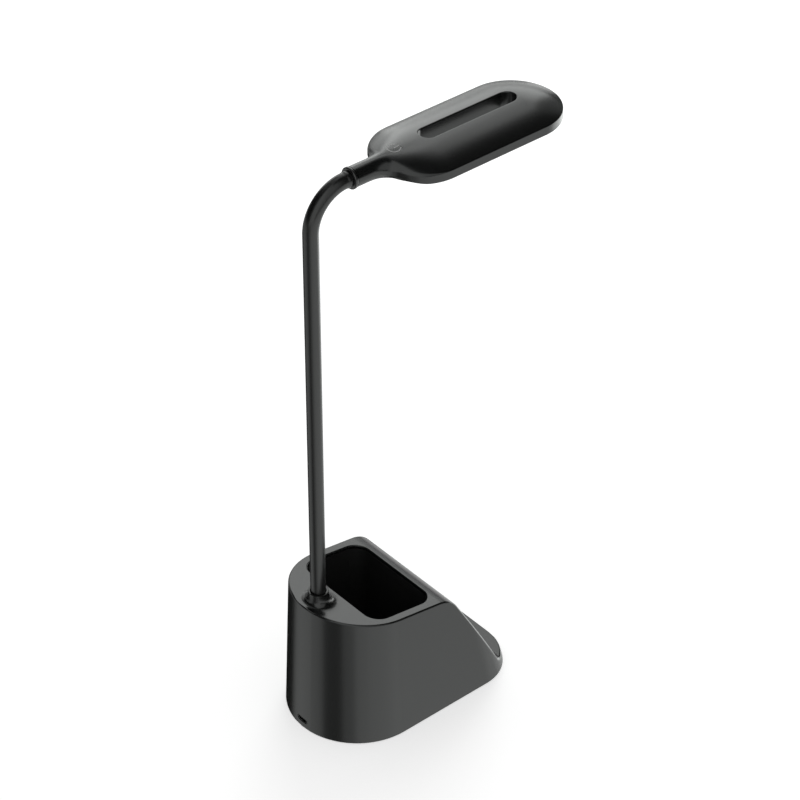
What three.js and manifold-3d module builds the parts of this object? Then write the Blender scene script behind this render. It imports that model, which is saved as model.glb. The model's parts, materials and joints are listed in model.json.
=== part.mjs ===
// Rechargeable desk lamp with a pen holder: a weighted base with a pen well and a phone slope,
// a gooseneck that holds any bend, and a flat ring-shaped head with a slot through it.
// Millimetres, +Z up. The origin is the middle of the footprint, on the desk, and the head points to +X.
// Every piece is symmetric about the XZ plane unless its section says otherwise.

import * as THREE from 'three';
import { mergeVertices } from 'three/addons/utils/BufferGeometryUtils.js';
import Module from 'manifold-3d';

const wasm = await Module();
wasm.setup();

const { degToRad, lerp, smoothstep } = THREE.MathUtils;

// Clearances that every piece uses
const fit = 0.3;
const overrun = 2;

// Base housing: the outer moulding, from its footprint up
const baseWidth = 90;
const baseLength = 143.8;
const frontCornerRadius = 30.5;
const wallDraft = degToRad(2.1);
const frontLean = degToRad(15);
const housingWall = 2.2;
const housingEdge = 1.2;
const footGap = 0.3;
const plateHeight = 88.8;
const plateTilt = degToRad(8.17);
const slopeAngle = degToRad(60.3);
const crestSetback = 58.5;
const crestRadius = 32;
const ledgeHeight = 7.6;
const ledgeRadius = 3.5;
const leanReach = 41.9;
const stationSpacing = 1.3;

// Pen well: its mouth in the top plate, and the cup that hangs below it
const wellSetback = 29.9;
const wellToCrest = 8.7;
const wellSideMargin = 9.5;
const wellCorner = 10;
const wellRim = 0.8;
const cupDraft = degToRad(1.5);
const cupWall = 1.8;
const cupFlange = 3;
const cupFlangeThickness = 1.6;

// Underside: pad, cover, weight, cell and electronics
const padThickness = 0.8;
const padInset = 4;
const coverThickness = 2;
const ballastWellInset = 1;
const ballastCellGap = 4.8;
const ballastSideMargin = 13;
const ballastThickness = 9;
const ballastCorner = 3;
const cellDiameter = 18.4;
const cellLength = 65;
const cellAhead = 11.6;
const cellCapDiameter = 7;
const cellCapHeight = 1;
const saddleSpacing = 44;
const saddleThickness = 3;
const saddleLength = 26;
const saddleHeight = 7;
const boardThickness = 1.2;
const boardSetback = 5.9;
const boardLength = 21;
const boardWidth = 28;
const boardTongueLength = 2;
const boardTongueWidth = 11;
const socketWidth = 8.94;
const socketHeight = 3.26;
const socketLength = 7.35;
const socketWall = 0.4;
const socketRecess = 0.7;
const socketTongueWidth = 6.6;
const socketTongueThickness = 0.7;
const leadDiameter = 2.2;

// Screws: one size for the base cover, one for the gooseneck flange, one for the light board
const coverScrew = { shank: 2.6, length: 12, head: 4.6, headHeight: 1.2, boss: 8.8, bossHeight: 22 };
const flangeScrew = { shank: 2.6, length: 9, head: 4.8, headHeight: 1.6 };
const lightScrew = { shank: 1.8, length: 4.2, head: 3.6, headHeight: 1, boss: 4.6 };
const rearBossAngle = degToRad(135);
const frontBossAhead = 12;
const bossSink = 0.5;

// Gooseneck: centre line, sleeve, core and the ball-shaped ends that its links turn on
const stemSetback = 15.1;
const sleeveDiameter = 9.4;
const sleeveWall = 1.3;
const coreDiameter = 6.2;
const coreBore = 3.4;
const stemRise = 264.51;
const bendRadius = 24.8;
const bendEnd = 0.9;
const firstJointRise = 18.91;
const lastStemJointRise = 243.91;
const stemJointCount = 6;

// Collar on the top plate and the steel ferrule that fixes the gooseneck under it
const collarFootDiameter = 26;
const collarRimDiameter = 12.6;
const collarRimHeight = 8.8;
const collarRimBore = 10.2;
const collarSink = 0.05;
const stemBossDiameter = 19;
const stemBossDepth = 23.1;
const ferruleDiameter = 10.8;
const ferruleDepth = 7.1;
const ferruleFlangeThickness = 2;
const ferruleFlangeLength = 34;
const ferruleFlangeWidth = 14;
const ferruleScrewSpacing = 24;

// Head: a stadium seen from above, joined to the ring of the gooseneck by a short neck
const headWidth = 58.8;
const neckLength = 19.9;
const headCentreSpan = 69.6;
const headDrop = 6.8;
const headSideHeight = 5.8;
const headDomeHeight = 8.2;
const headWall = 1.8;
const headCreaseEdge = 0.6;
const slotWidth = 11.3;
const slotBackInset = 5.9;
const slotFrontInset = 4.4;
const slotWall = 1.6;
const neckDiameter = 12.4;
const neckStraight = 12;
const neckFlare = 12;
const neckFillet = 14;
const neckBore = 7.4;
const neckSeatReach = 23.3;
const neckSeatLength = 9;
const neckSeatWidth = 14;
const neckRingDiameter = 13.2;
const neckRingLength = 2.2;
const neckShankDiameter = 6.8;
const neckShankReach = 2.2;
const clipDiameter = 8.6;
const clipThickness = 0.8;
const clipGroove = 0.5;

// Light board, diffuser and touch contact inside the head
const diffuserThickness = 1.6;
const diffuserRecess = 0.2;
const lightBoardThickness = 1;
const lightBoardGap = 3;
const lightBoardWidth = 43;
const lightLoopWidth = 37;
const lightLength = 3.5;
const lightWidth = 2.8;
const lightHeight = 0.7;
const lightPitch = 12;
const lightScrewOffset = 12.4;
const touchReach = 31.2;
const touchDiameter = 9;
const touchThickness = 0.6;
const touchPostDiameter = 2.4;

// Facet counts
const roundSides = 16;
const smallSides = 12;
const screwSides = 10;
const leadSides = 6;
const arcSteps = 10;
const filletSteps = 3;
const crestSteps = 6;
const bendSteps = 5;
const settlePasses = 8;

// Places of the base, from its back and front ends
const baseBack = -baseLength / 2;
const baseFront = baseLength / 2;
const rearCentreX = baseBack + baseWidth / 2;
const crestX = baseFront - crestSetback;
const leanStart = baseFront - leanReach;
const platePlane = (x) => plateHeight - Math.tan(plateTilt) * (x - rearCentreX);
const wellBack = baseBack + wellSetback;
const wellFront = crestX - wellToCrest;
const wellWidth = baseWidth - 2 * wellSideMargin;
const cellX = crestX + cellAhead;
const ballastBack = wellBack + ballastWellInset;
const ballastFront = cellX - cellDiameter / 2 - ballastCellGap;
const ballastWidth = baseWidth - 2 * ballastSideMargin;
const boardBack = baseBack + boardSetback;
const boardFront = boardBack + boardLength;
const frontBossX = cellX + frontBossAhead;

// Places of the gooseneck, from the plate that it stands on
const stemX = baseBack + stemSetback;
const stemFoot = platePlane(stemX);
const stemBossBottom = stemFoot - stemBossDepth;
const ferruleTop = stemFoot - ferruleDepth;
const bendStart = stemFoot + stemRise;
const bendLength = (bendRadius * Math.PI) / 2;
const bendFrontX = stemX + bendRadius;
const axisHeight = bendStart + bendRadius;

// Places of the ring and the head, from the level end of the gooseneck
const socketDiameter = sleeveDiameter + 2 * fit;
const lastJointX = bendFrontX + bendEnd;
const ringBack = lastJointX + ballHeight(socketDiameter, sleeveDiameter);
const ringFront = ringBack + neckRingLength;
const neckBack = ringFront + fit;
const neckSeatFront = neckBack + neckSeatReach;
const headBackCentre = neckBack + neckLength + headWidth / 2;
const headFrontCentre = headBackCentre + headCentreSpan;
const headBottom = axisHeight - headDrop;
const headCrease = headBottom + headSideHeight;
const headTop = headCrease + headDomeHeight;
const slotBackCentre = headBackCentre + slotBackInset;
const slotFrontCentre = headFrontCentre - slotFrontInset;
const lightBoardBottom = headBottom + diffuserRecess + diffuserThickness + lightBoardGap;
const touchX = neckBack + touchReach;

// Materials
function plastic(color, roughness) {
  return new THREE.MeshStandardMaterial({ color, roughness, metalness: 0 });
}
function metal(color, roughness) {
  return new THREE.MeshStandardMaterial({ color, roughness, metalness: 1 });
}
const satinBlack = plastic(0x1d1e1e, 0.42);
const wellBlack = plastic(0x0c0c0c, 0.6);
const sleeveBlack = plastic(0x1a1a1a, 0.5);
const padRubber = plastic(0x242424, 0.9);
const milkyWhite = plastic(0xf2efe6, 0.35);
const boardGreen = plastic(0x1f5a38, 0.5);
const boardWhite = plastic(0xe8e8e4, 0.5);
const cellWrap = plastic(0x2f5d8c, 0.4);
const leadJacket = plastic(0x151515, 0.5);
const steel = metal(0x9a9c9e, 0.35);
const blackSteel = metal(0x17181a, 0.4);
const ballastIron = metal(0x55585a, 0.6);
const copper = metal(0xb87a4b, 0.35);

// Points of a ring that is symmetric about the XZ plane, from its half with y at or above zero
function mirrored(half) {
  const last = half.at(-1);
  const inner = last.y === 0 ? half.slice(1, -1) : half.slice(1);
  return [...half, ...inner.reverse().map((point) => new THREE.Vector3(point.x, -point.y, point.z))];
}

// Triangles that close a ring, in strips between its mirrored points
function stripCap(ring, base, triangles) {
  const count = ring.length;
  for (let left = 0; 2 * left + 1 < count; left++) {
    const right = (count - left) % count;
    const beyond = count - left - 1;
    if (left !== right) {
      triangles.push(base + left, base + left + 1, base + right);
    }
    if (left + 1 !== beyond) {
      triangles.push(base + left + 1, base + beyond, base + right);
    }
  }
}

// A closed body stretched over a row of rings that all have as many points
function skin(rings, ends = 'strips') {
  const count = rings[0].length;
  const positions = rings.flat().flatMap((point) => [point.x, point.y, point.z]);
  const triangles = [];
  const spans = ends === 'joined' ? rings.length : rings.length - 1;
  for (let span = 0; span < spans; span++) {
    const low = span * count;
    const high = ((span + 1) % rings.length) * count;
    for (let point = 0; point < count; point++) {
      const next = (point + 1) % count;
      triangles.push(low + point, low + next, high + next);
      triangles.push(low + point, high + next, high + point);
    }
  }
  if (ends === 'strips') {
    const first = [];
    stripCap(rings[0], 0, first);
    triangles.push(...first.reverse());
    stripCap(rings.at(-1), (rings.length - 1) * count, triangles);
  }
  const geometry = new THREE.BufferGeometry();
  geometry.setAttribute('position', new THREE.Float32BufferAttribute(positions, 3));
  geometry.setIndex(triangles);
  return geometry;
}

// A closed geometry as a solid that can be cut and joined, with its faces turned outwards
function solid(geometry) {
  const bare = geometry.clone();
  bare.deleteAttribute('normal');
  bare.deleteAttribute('uv');
  const merged = mergeVertices(bare);
  const vertProperties = new Float32Array(merged.attributes.position.array);
  const triVerts = new Uint32Array(merged.index.array);
  const body = new wasm.Manifold(new wasm.Mesh({ numProp: 3, vertProperties, triVerts }));
  if (body.volume() > 0) {
    return body;
  }
  return new wasm.Manifold(new wasm.Mesh({ numProp: 3, vertProperties, triVerts: triVerts.reverse() }));
}

function shape(body) {
  const { vertProperties, triVerts, numProp } = body.getMesh();
  const positions = [];
  for (let start = 0; start < vertProperties.length; start += numProp) {
    positions.push(...vertProperties.slice(start, start + 3));
  }
  const geometry = new THREE.BufferGeometry();
  geometry.setAttribute('position', new THREE.Float32BufferAttribute(positions, 3));
  geometry.setIndex([...triVerts]);
  geometry.computeVertexNormals();
  return geometry;
}

function piece(name, body, material) {
  const mesh = new THREE.Mesh(shape(body), material);
  mesh.name = name;
  return mesh;
}

// Plain bodies: an upright column, a lying bar, a block and an upright prism
function column(diameter, bottom, top, x = 0, y = 0, sides = roundSides) {
  const geometry = new THREE.CylinderGeometry(diameter / 2, diameter / 2, top - bottom, sides);
  geometry.rotateX(Math.PI / 2);
  geometry.translate(x, y, (bottom + top) / 2);
  return solid(geometry);
}
function bar(diameter, start, end, height, sides = roundSides) {
  const geometry = new THREE.CylinderGeometry(diameter / 2, diameter / 2, end - start, sides);
  geometry.rotateZ(Math.PI / 2);
  geometry.translate((start + end) / 2, 0, height);
  return solid(geometry);
}
function block(back, front, right, left, bottom, top) {
  const geometry = new THREE.BoxGeometry(front - back, left - right, top - bottom);
  geometry.translate((back + front) / 2, (right + left) / 2, (bottom + top) / 2);
  return solid(geometry);
}
function prism(half, bottom, top) {
  const low = half.map((point) => new THREE.Vector3(point.x, point.y, bottom));
  const high = half.map((point) => new THREE.Vector3(point.x, point.y, top));
  return solid(skin([mirrored(low), mirrored(high)]));
}

// A screw with its head down: the shank rises from the head's top face at seat
function screw(size, seat, x, y) {
  const head = column(size.head, seat - size.headHeight, seat, x, y, screwSides);
  return head.add(column(size.shank, seat - size.headHeight / 2, seat + size.length, x, y, screwSides));
}

// Half of a stadium, from its back tip to its front tip
function stadium(backCentre, frontCentre, width, height = 0) {
  const radius = width / 2;
  const half = [];
  for (let step = 0; step <= arcSteps; step++) {
    const angle = (step / arcSteps) * (Math.PI / 2);
    half.push(new THREE.Vector3(backCentre - radius * Math.cos(angle), radius * Math.sin(angle), height));
  }
  for (let step = 0; step < arcSteps; step++) {
    const angle = (step / arcSteps) * (Math.PI / 2);
    half.push(new THREE.Vector3(frontCentre + radius * Math.sin(angle), radius * Math.cos(angle), height));
  }
  half.push(new THREE.Vector3(frontCentre + radius, 0, height));
  half[0].y = 0;
  return half;
}

// Half of a rectangle with round corners, from the middle of its back edge; heightOf gives z over x
function roundedHalf(back, front, width, corner, heightOf) {
  const side = width / 2 - corner;
  const half = [];
  for (let step = 0; step <= arcSteps / 2; step++) {
    const angle = (step / (arcSteps / 2)) * (Math.PI / 2);
    half.push([back + corner - corner * Math.cos(angle), side + corner * Math.sin(angle)]);
  }
  for (let step = 0; step <= arcSteps / 2; step++) {
    const angle = (step / (arcSteps / 2)) * (Math.PI / 2);
    half.push([front - corner + corner * Math.sin(angle), side + corner * Math.cos(angle)]);
  }
  return half.map(([x, y]) => new THREE.Vector3(x, y, heightOf(x)));
}

// A full ring of that rectangle, whose back and front edges cross the XZ plane
function roundedRing(back, front, width, corner, heightOf) {
  const half = roundedHalf(back, front, width, corner, heightOf);
  const other = half.map((point) => new THREE.Vector3(point.x, -point.y, point.z));
  return [...half, ...other.reverse()];
}

// Such rings are closed in strips between the two long sides
function roundedSkin(rings) {
  const count = rings[0].length;
  const open = skin(rings, 'open');
  const triangles = [...open.index.array];
  const top = (rings.length - 1) * count;
  for (let left = 0; left + 1 < count / 2; left++) {
    const right = count - 1 - left;
    triangles.push(left + 1, left, right, left + 1, right, right - 1);
    triangles.push(top + left, top + left + 1, top + right);
    triangles.push(top + left + 1, top + right - 1, top + right);
  }
  open.setIndex(triangles);
  return solid(open);
}

// Side profile of the housing: plate, rounded crest, phone slope and ledge
function filletPath(corners) {
  const path = [corners[0].point];
  for (let index = 1; index < corners.length - 1; index++) {
    const { point, radius, steps } = corners[index];
    const before = corners[index - 1].point.clone().sub(point).normalize();
    const after = corners[index + 1].point.clone().sub(point).normalize();
    const half = before.angleTo(after) / 2;
    const centre = before.clone().add(after).normalize().multiplyScalar(radius / Math.sin(half)).add(point);
    const start = before.clone().multiplyScalar(radius / Math.tan(half)).add(point);
    const end = after.clone().multiplyScalar(radius / Math.tan(half)).add(point);
    for (let step = 0; step <= steps; step++) {
      const spoke = start.clone().sub(centre).lerp(end.clone().sub(centre), step / steps);
      path.push(spoke.setLength(radius).add(centre));
    }
  }
  path.push(corners.at(-1).point);
  return path;
}

const slopeFoot = crestX + (platePlane(crestX) - ledgeHeight) / Math.tan(slopeAngle);

const profile = filletPath([
  { point: new THREE.Vector2(baseBack - overrun, platePlane(baseBack - overrun)) },
  { point: new THREE.Vector2(crestX, platePlane(crestX)), radius: crestRadius, steps: crestSteps },
  { point: new THREE.Vector2(slopeFoot, ledgeHeight), radius: ledgeRadius, steps: filletSteps },
  { point: new THREE.Vector2(baseFront + overrun, ledgeHeight) },
]);

function heightOver(x) {
  const next = profile.findIndex((point) => point.x > x);
  if (next < 1) {
    return next === 0 ? profile[0].y : profile.at(-1).y;
  }
  const from = profile[next - 1];
  const to = profile[next];
  return lerp(from.y, to.y, (x - from.x) / (to.x - from.x));
}

// Height of the surface that lies a wall's depth under the profile, found with a rolling circle
function heightUnder(x, depth) {
  let lowest = Infinity;
  for (let step = -crestSteps; step <= crestSteps; step++) {
    const angle = (step / crestSteps) * (Math.PI / 2);
    lowest = Math.min(lowest, heightOver(x + depth * Math.sin(angle)) - depth * Math.cos(angle));
  }
  return lowest;
}

// How steep the profile is at x, as the length of its slope for one unit along x
function steepness(x) {
  const reach = housingEdge / 2;
  return Math.hypot(1, (heightOver(x + reach) - heightOver(x - reach)) / (2 * reach));
}

// Plan of the base at a height, drawn in by an inset: round back, straight sides, round front corners
function basePlan(inset, height) {
  const shrink = inset + height * Math.tan(wallDraft);
  const radius = baseWidth / 2 - shrink;
  const corner = frontCornerRadius - shrink;
  const front = baseFront - inset - height * Math.tan(frontLean);
  const back = rearCentreX - radius;
  return { back, front, radius, corner, cornerX: front - corner, side: radius - corner };
}
function planHalfWidth(plan, x) {
  if (x < rearCentreX) {
    return Math.sqrt(Math.max(0, plan.radius ** 2 - (x - rearCentreX) ** 2));
  }
  if (x < plan.cornerX) {
    return plan.radius;
  }
  return plan.side + Math.sqrt(Math.max(0, plan.corner ** 2 - (x - plan.cornerX) ** 2));
}

// Place on the ground that the front's lean moves to x at a height
function placeBelow(x, height) {
  const shift = height * Math.tan(frontLean);
  return x > leanStart ? (x * leanReach - leanStart * shift) / (leanReach - shift) : x;
}

// Places along the base, measured on the ground: the steps of its arcs and the corners of the profile
function basePlaces() {
  const ground = basePlan(0, 0);
  const corners = profile.map((point) => placeBelow(point.x, point.y));
  const places = corners.filter((x) => x > rearCentreX && x < ground.front);
  for (let step = 0; step <= arcSteps; step++) {
    const angle = (step / arcSteps) * (Math.PI / 2);
    places.push(rearCentreX - ground.radius * Math.cos(angle));
    places.push(ground.cornerX + ground.corner * Math.sin(angle));
  }
  places.sort((a, b) => a - b);
  const kept = places.filter((x, index) => index === 0 || x - places[index - 1] > stationSpacing);
  return [...kept.filter((x) => ground.front - x > stationSpacing), ground.front];
}
const basePlaceList = basePlaces();

// A ring round the base. The round back shrinks about its centre and the front leans back, so the
// places there move along X. Each point's height is found over its moved place.
function baseRing(inset, heightOf) {
  const ground = basePlan(0, 0);
  const half = basePlaceList.map((place) => {
    const point = new THREE.Vector3(place, 0, heightOf(place));
    const share = Math.max(0, (place - leanStart) / (ground.front - leanStart));
    for (let pass = 0; pass < settlePasses; pass++) {
      const plan = basePlan(inset, point.z);
      if (place < rearCentreX) {
        point.x = rearCentreX - (rearCentreX - place) * (plan.radius / ground.radius);
      } else {
        point.x = place - share * (ground.front - plan.front);
      }
      point.y = place === ground.back ? 0 : planHalfWidth(plan, point.x);
      point.z = heightOf(point.x);
    }
    return point;
  });
  return mirrored(half);
}
function levelRing(inset, height) {
  return baseRing(inset, () => height);
}

// The housing's outer form, with its long top edge rounded
function housingForm() {
  const rings = [levelRing(0, footGap)];
  for (let step = 0; step <= filletSteps; step++) {
    const angle = (step / filletSteps) * (Math.PI / 2);
    const inset = housingEdge * (1 - Math.cos(angle));
    const drop = housingEdge * (1 - Math.sin(angle));
    rings.push(baseRing(inset, (x) => heightOver(x) - drop * steepness(x)));
  }
  return solid(skin(rings));
}
function housingHollow(depth) {
  const top = baseRing(depth, (x) => heightUnder(x, depth));
  return solid(skin([levelRing(depth, padThickness - overrun), top]));
}

// Well: the space of the pens, which the plate's mouth and the cup both follow
const coverTop = padThickness + coverThickness;
const ballastTop = coverTop + ballastThickness;
const cupBottom = ballastTop + fit;
const wellFloor = cupBottom + cupWall;

function wellRing(outset, heightOf) {
  const taper = (platePlane(wellBack) - heightOf(wellBack)) * Math.tan(cupDraft);
  const grow = outset - Math.max(0, taper);
  const corner = wellCorner + grow;
  return roundedRing(wellBack - grow, wellFront + grow, wellWidth + 2 * grow, corner, heightOf);
}
function wellSpace() {
  const rings = [wellRing(0, () => wellFloor), wellRing(0, (x) => heightOver(x) - wellRim)];
  for (let step = 1; step <= filletSteps; step++) {
    const angle = (step / filletSteps) * (Math.PI / 2);
    const outset = wellRim * (1 - Math.cos(angle));
    rings.push(wellRing(outset, (x) => heightOver(x) - wellRim * (1 - Math.sin(angle))));
  }
  rings.push(wellRing(wellRim, (x) => platePlane(x) + overrun));
  return roundedSkin(rings);
}
function penCup() {
  const under = housingHollow(housingWall + fit);
  const flangeUnder = housingHollow(housingWall + fit + cupFlangeThickness);
  const upright = (outset) => {
    return roundedSkin([wellRing(outset, () => cupBottom), wellRing(outset, platePlane)]);
  };
  const flange = upright(cupWall + cupFlange).intersect(under).subtract(flangeUnder);
  const body = upright(cupWall).intersect(under).add(flange);
  return piece('pen_cup', body.subtract(wellSpace()), wellBlack);
}

// Trumpet-shaped collar round the gooseneck. Its foot follows the tilted plate, and its rim is level.
function collar() {
  const foot = collarFootDiameter / 2;
  const rim = collarRimDiameter / 2;
  const top = stemFoot + collarRimHeight;
  const ring = (radius, depth, share) => {
    const half = [];
    for (let side = 0; side <= smallSides; side++) {
      const turn = (side / smallSides) * Math.PI;
      const x = stemX - radius * Math.cos(turn);
      const y = side === smallSides ? 0 : radius * Math.sin(turn);
      half.push(new THREE.Vector3(x, y, lerp(platePlane(x) - depth, top, share)));
    }
    return mirrored(half);
  };
  const rings = [ring(foot, housingWall / 2, 0)];
  for (let step = 0; step <= arcSteps; step++) {
    const angle = (step / arcSteps) * (Math.PI / 2);
    rings.push(ring(foot - (foot - rim) * Math.sin(angle), collarSink, 1 - Math.cos(angle)));
  }
  return solid(skin(rings));
}

// Bosses for the cover's screws stand against the wall, two at the round back and two by the slope
function coverScrewPlaces() {
  const reach = baseWidth / 2 - housingWall - coverScrew.boss / 2 + bossSink;
  const rearX = rearCentreX + reach * Math.cos(rearBossAngle);
  const rearY = reach * Math.sin(rearBossAngle);
  return [[rearX, rearY], [rearX, -rearY], [frontBossX, reach], [frontBossX, -reach]];
}
const ferruleScrewPlaces = [-1, 1].map((side) => [stemX, (side * ferruleScrewSpacing) / 2]);
const ferruleBossDiameter = flangeScrew.shank + 2 * housingWall;

function usbCentre() {
  return coverTop + fit + boardThickness + socketHeight / 2;
}
function baseHousing() {
  const outer = housingForm();
  let body = outer.subtract(housingHollow(housingWall));
  for (const [x, y] of coverScrewPlaces()) {
    body = body.add(column(coverScrew.boss, coverTop + fit, coverTop + coverScrew.bossHeight, x, y));
  }
  body = body.add(column(stemBossDiameter, stemBossBottom, stemFoot, stemX));
  for (const [x, y] of ferruleScrewPlaces) {
    body = body.add(column(ferruleBossDiameter, stemBossBottom, platePlane(x), x, y, smallSides));
  }
  body = body.intersect(outer).add(collar());
  for (const [x, y] of coverScrewPlaces()) {
    const top = coverTop + coverScrew.length + fit;
    body = body.subtract(column(coverScrew.shank + 2 * fit, padThickness, top, x, y, smallSides));
  }
  for (const [x, y] of ferruleScrewPlaces) {
    const top = stemBossBottom + flangeScrew.length;
    body = body.subtract(column(flangeScrew.shank + 2 * fit, stemBossBottom - fit, top, x, y, smallSides));
  }
  const mouth = stemFoot + collarRimHeight + overrun;
  body = body.subtract(column(collarRimBore, stemBossBottom - overrun, mouth, stemX));
  body = body.subtract(column(ferruleDiameter + 2 * fit, stemBossBottom - overrun, ferruleTop + fit, stemX));
  body = body.subtract(wellSpace()).subtract(socketForm(fit, overrun));
  return piece('base_housing', body, satinBlack);
}

// Cover, pad and weight
function bottomCover() {
  const inset = housingWall + fit;
  let body = solid(skin([levelRing(inset, padThickness), levelRing(inset, coverTop)]));
  for (const side of [-1, 1]) {
    const right = (side * saddleSpacing - saddleThickness) / 2;
    const back = cellX - saddleLength / 2;
    const top = coverTop + saddleHeight;
    body = body.add(block(back, back + saddleLength, right, right + saddleThickness, padThickness, top));
  }
  body = body.subtract(cellForm(fit));
  for (const [x, y] of coverScrewPlaces()) {
    const seat = padThickness + coverScrew.headHeight + fit;
    body = body.subtract(column(coverScrew.head + 2 * fit, padThickness - overrun, seat, x, y, smallSides));
    body = body.subtract(column(coverScrew.shank + 2 * fit, padThickness, coverTop + fit, x, y, smallSides));
  }
  return piece('bottom_cover', body, satinBlack);
}
function nonSlipPad() {
  const body = solid(skin([levelRing(padInset, 0), levelRing(padInset, padThickness)]));
  return piece('non_slip_pad', body, padRubber);
}
function ballastWeight() {
  const ring = (height) => roundedRing(ballastBack, ballastFront, ballastWidth, ballastCorner, () => height);
  return piece('ballast_weight', roundedSkin([ring(coverTop), ring(ballastTop)]), ballastIron);
}
function coverScrews() {
  const seat = padThickness + coverScrew.headHeight;
  return coverScrewPlaces().map(([x, y], index) => {
    return piece(`cover_screw_${index + 1}`, screw(coverScrew, seat, x, y), steel);
  });
}

// Rechargeable cell, lying across the base under the slope
const cellHeight = coverTop + fit + cellDiameter / 2;
function cellForm(grow) {
  const radius = cellDiameter / 2 + grow;
  const can = new THREE.CylinderGeometry(radius, radius, cellLength, roundSides);
  can.translate(cellX, 0, cellHeight);
  return solid(can);
}
function batteryCell() {
  const radius = cellCapDiameter / 2;
  const cap = new THREE.CylinderGeometry(radius, radius, 2 * cellCapHeight, smallSides);
  cap.translate(cellX, cellLength / 2, cellHeight);
  return piece('battery_cell', cellForm(0).add(solid(cap)), cellWrap);
}

// Charging board with its socket at the back wall
const boardBottom = coverTop + fit;
const boardTop = boardBottom + boardThickness;
function mainBoard() {
  const main = block(boardBack, boardFront, -boardWidth / 2, boardWidth / 2, boardBottom, boardTop);
  const half = boardTongueWidth / 2;
  const tongueBack = boardBack - boardTongueLength;
  const tongue = block(tongueBack, boardFront, -half, half, boardBottom, boardTop);
  return piece('charging_board', main.add(tongue), boardGreen);
}
const socketBack = baseBack + padThickness * Math.tan(wallDraft) + socketRecess;
function socketForm(grow, extra) {
  const radius = socketHeight / 2 + grow;
  const side = socketWidth / 2 - socketHeight / 2;
  const outline = new THREE.Shape();
  outline.absarc(side, 0, radius, -Math.PI / 2, Math.PI / 2, false);
  outline.absarc(-side, 0, radius, Math.PI / 2, (3 * Math.PI) / 2, false);
  const depth = socketLength + extra;
  const slab = new THREE.ExtrudeGeometry(outline, { depth, bevelEnabled: false, curveSegments: leadSides });
  slab.rotateX(Math.PI / 2);
  slab.rotateZ(Math.PI / 2);
  slab.translate(socketBack - extra, 0, usbCentre());
  return solid(slab);
}
function usbSocket() {
  const hollow = socketForm(-socketWall, overrun);
  const half = socketTongueWidth / 2;
  const low = usbCentre() - socketTongueThickness / 2;
  const high = low + socketTongueThickness;
  const front = socketBack + socketLength;
  const tongue = block(socketBack + socketRecess, front, -half, half, low, high);
  const end = block(front - overrun, front, -socketWidth, socketWidth, boardTop, boardTop + socketHeight);
  const body = socketForm(0, 0).subtract(hollow).add(tongue).add(socketForm(0, 0).intersect(end));
  return piece('usb_socket', body, steel);
}

// A short lead along a curve through points
function lead(name, points, steps) {
  const outline = new THREE.Shape().absarc(0, 0, leadDiameter / 2, 0, 2 * Math.PI, false);
  const extrudePath = new THREE.CatmullRomCurve3(points.map(([x, y, z]) => new THREE.Vector3(x, y, z)));
  const tube = new THREE.ExtrudeGeometry(outline, { steps, extrudePath, curveSegments: leadSides / 2 });
  return piece(name, solid(tube), leadJacket);
}
const leadRest = boardTop + fit;
function batteryLead() {
  const wallY = baseWidth / 2 - cellHeight * Math.tan(wallDraft) - housingWall;
  const laneY = -(wellWidth / 2 + cupWall + wallY) / 2;
  const startX = cellX - cellDiameter / 2 - fit;
  const startY = 2 * leadDiameter - cellLength / 2;
  const turn = 2 * leadDiameter;
  const cupCorner = new THREE.Vector2(wellBack + wellCorner, wellCorner - wellWidth / 2);
  cupCorner.addScalar(-(wellCorner + cupWall) * Math.SQRT1_2);
  const round = cupCorner.sub(new THREE.Vector2(rearCentreX, 0));
  round.setLength((round.length() + wallY) / 2);
  const [bossX, bossY] = coverScrewPlaces()[1];
  const passX = (wellBack - cupWall + bossX + coverScrew.boss / 2) / 2;
  return lead('battery_lead', [
    [startX, startY, cellHeight],
    [startX - leadDiameter, startY, cellHeight],
    [startX - leadDiameter, (startY + laneY) / 2, cellHeight],
    [startX - turn, (startY + 3 * laneY) / 4, cellHeight],
    [startX - 3 * turn, laneY, cellHeight],
    [rearCentreX, laneY, ballastTop],
    [rearCentreX + round.x, round.y, ballastTop],
    [passX, bossY, ballastTop],
    [boardFront - turn, -boardWidth / 3, ballastTop],
    [boardFront - turn, -boardWidth / 3, leadRest],
  ], 2 * smallSides);
}
const leadBendShares = [0.75, 0.4, 0.15];
function lampLeadBase() {
  const top = stemBossBottom - ferruleFlangeThickness - 2 * fit;
  const slack = 2 * leadDiameter;
  const [high, middle, low] = leadBendShares.map((share) => lerp(leadRest, top, share));
  return lead('lamp_lead_base', [
    [stemX, 0, top],
    [stemX, 0, high],
    [stemX + slack / 2, slack, middle],
    [stemX + slack, slack, low],
    [stemX + slack, slack, leadRest],
  ], smallSides);
}

// Centre line of the gooseneck: upright, then a quarter turn, then level. It is measured by the
// height on the upright stretch, and on from there by the length of the bend.
function stemPoint(run) {
  if (run <= bendStart) {
    return new THREE.Vector3(stemX, 0, run);
  }
  const angle = Math.min(run - bendStart, bendLength) / bendRadius;
  const ahead = Math.max(0, run - bendStart - bendLength);
  const x = bendFrontX - bendRadius * Math.cos(angle) + ahead;
  return new THREE.Vector3(x, 0, bendStart + bendRadius * Math.sin(angle));
}
function stemDirection(run) {
  const angle = Math.min(Math.max(0, run - bendStart), bendLength) / bendRadius;
  return new THREE.Vector3(Math.sin(angle), 0, Math.cos(angle));
}
const sideways = new THREE.Vector3(0, 1, 0);

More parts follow.
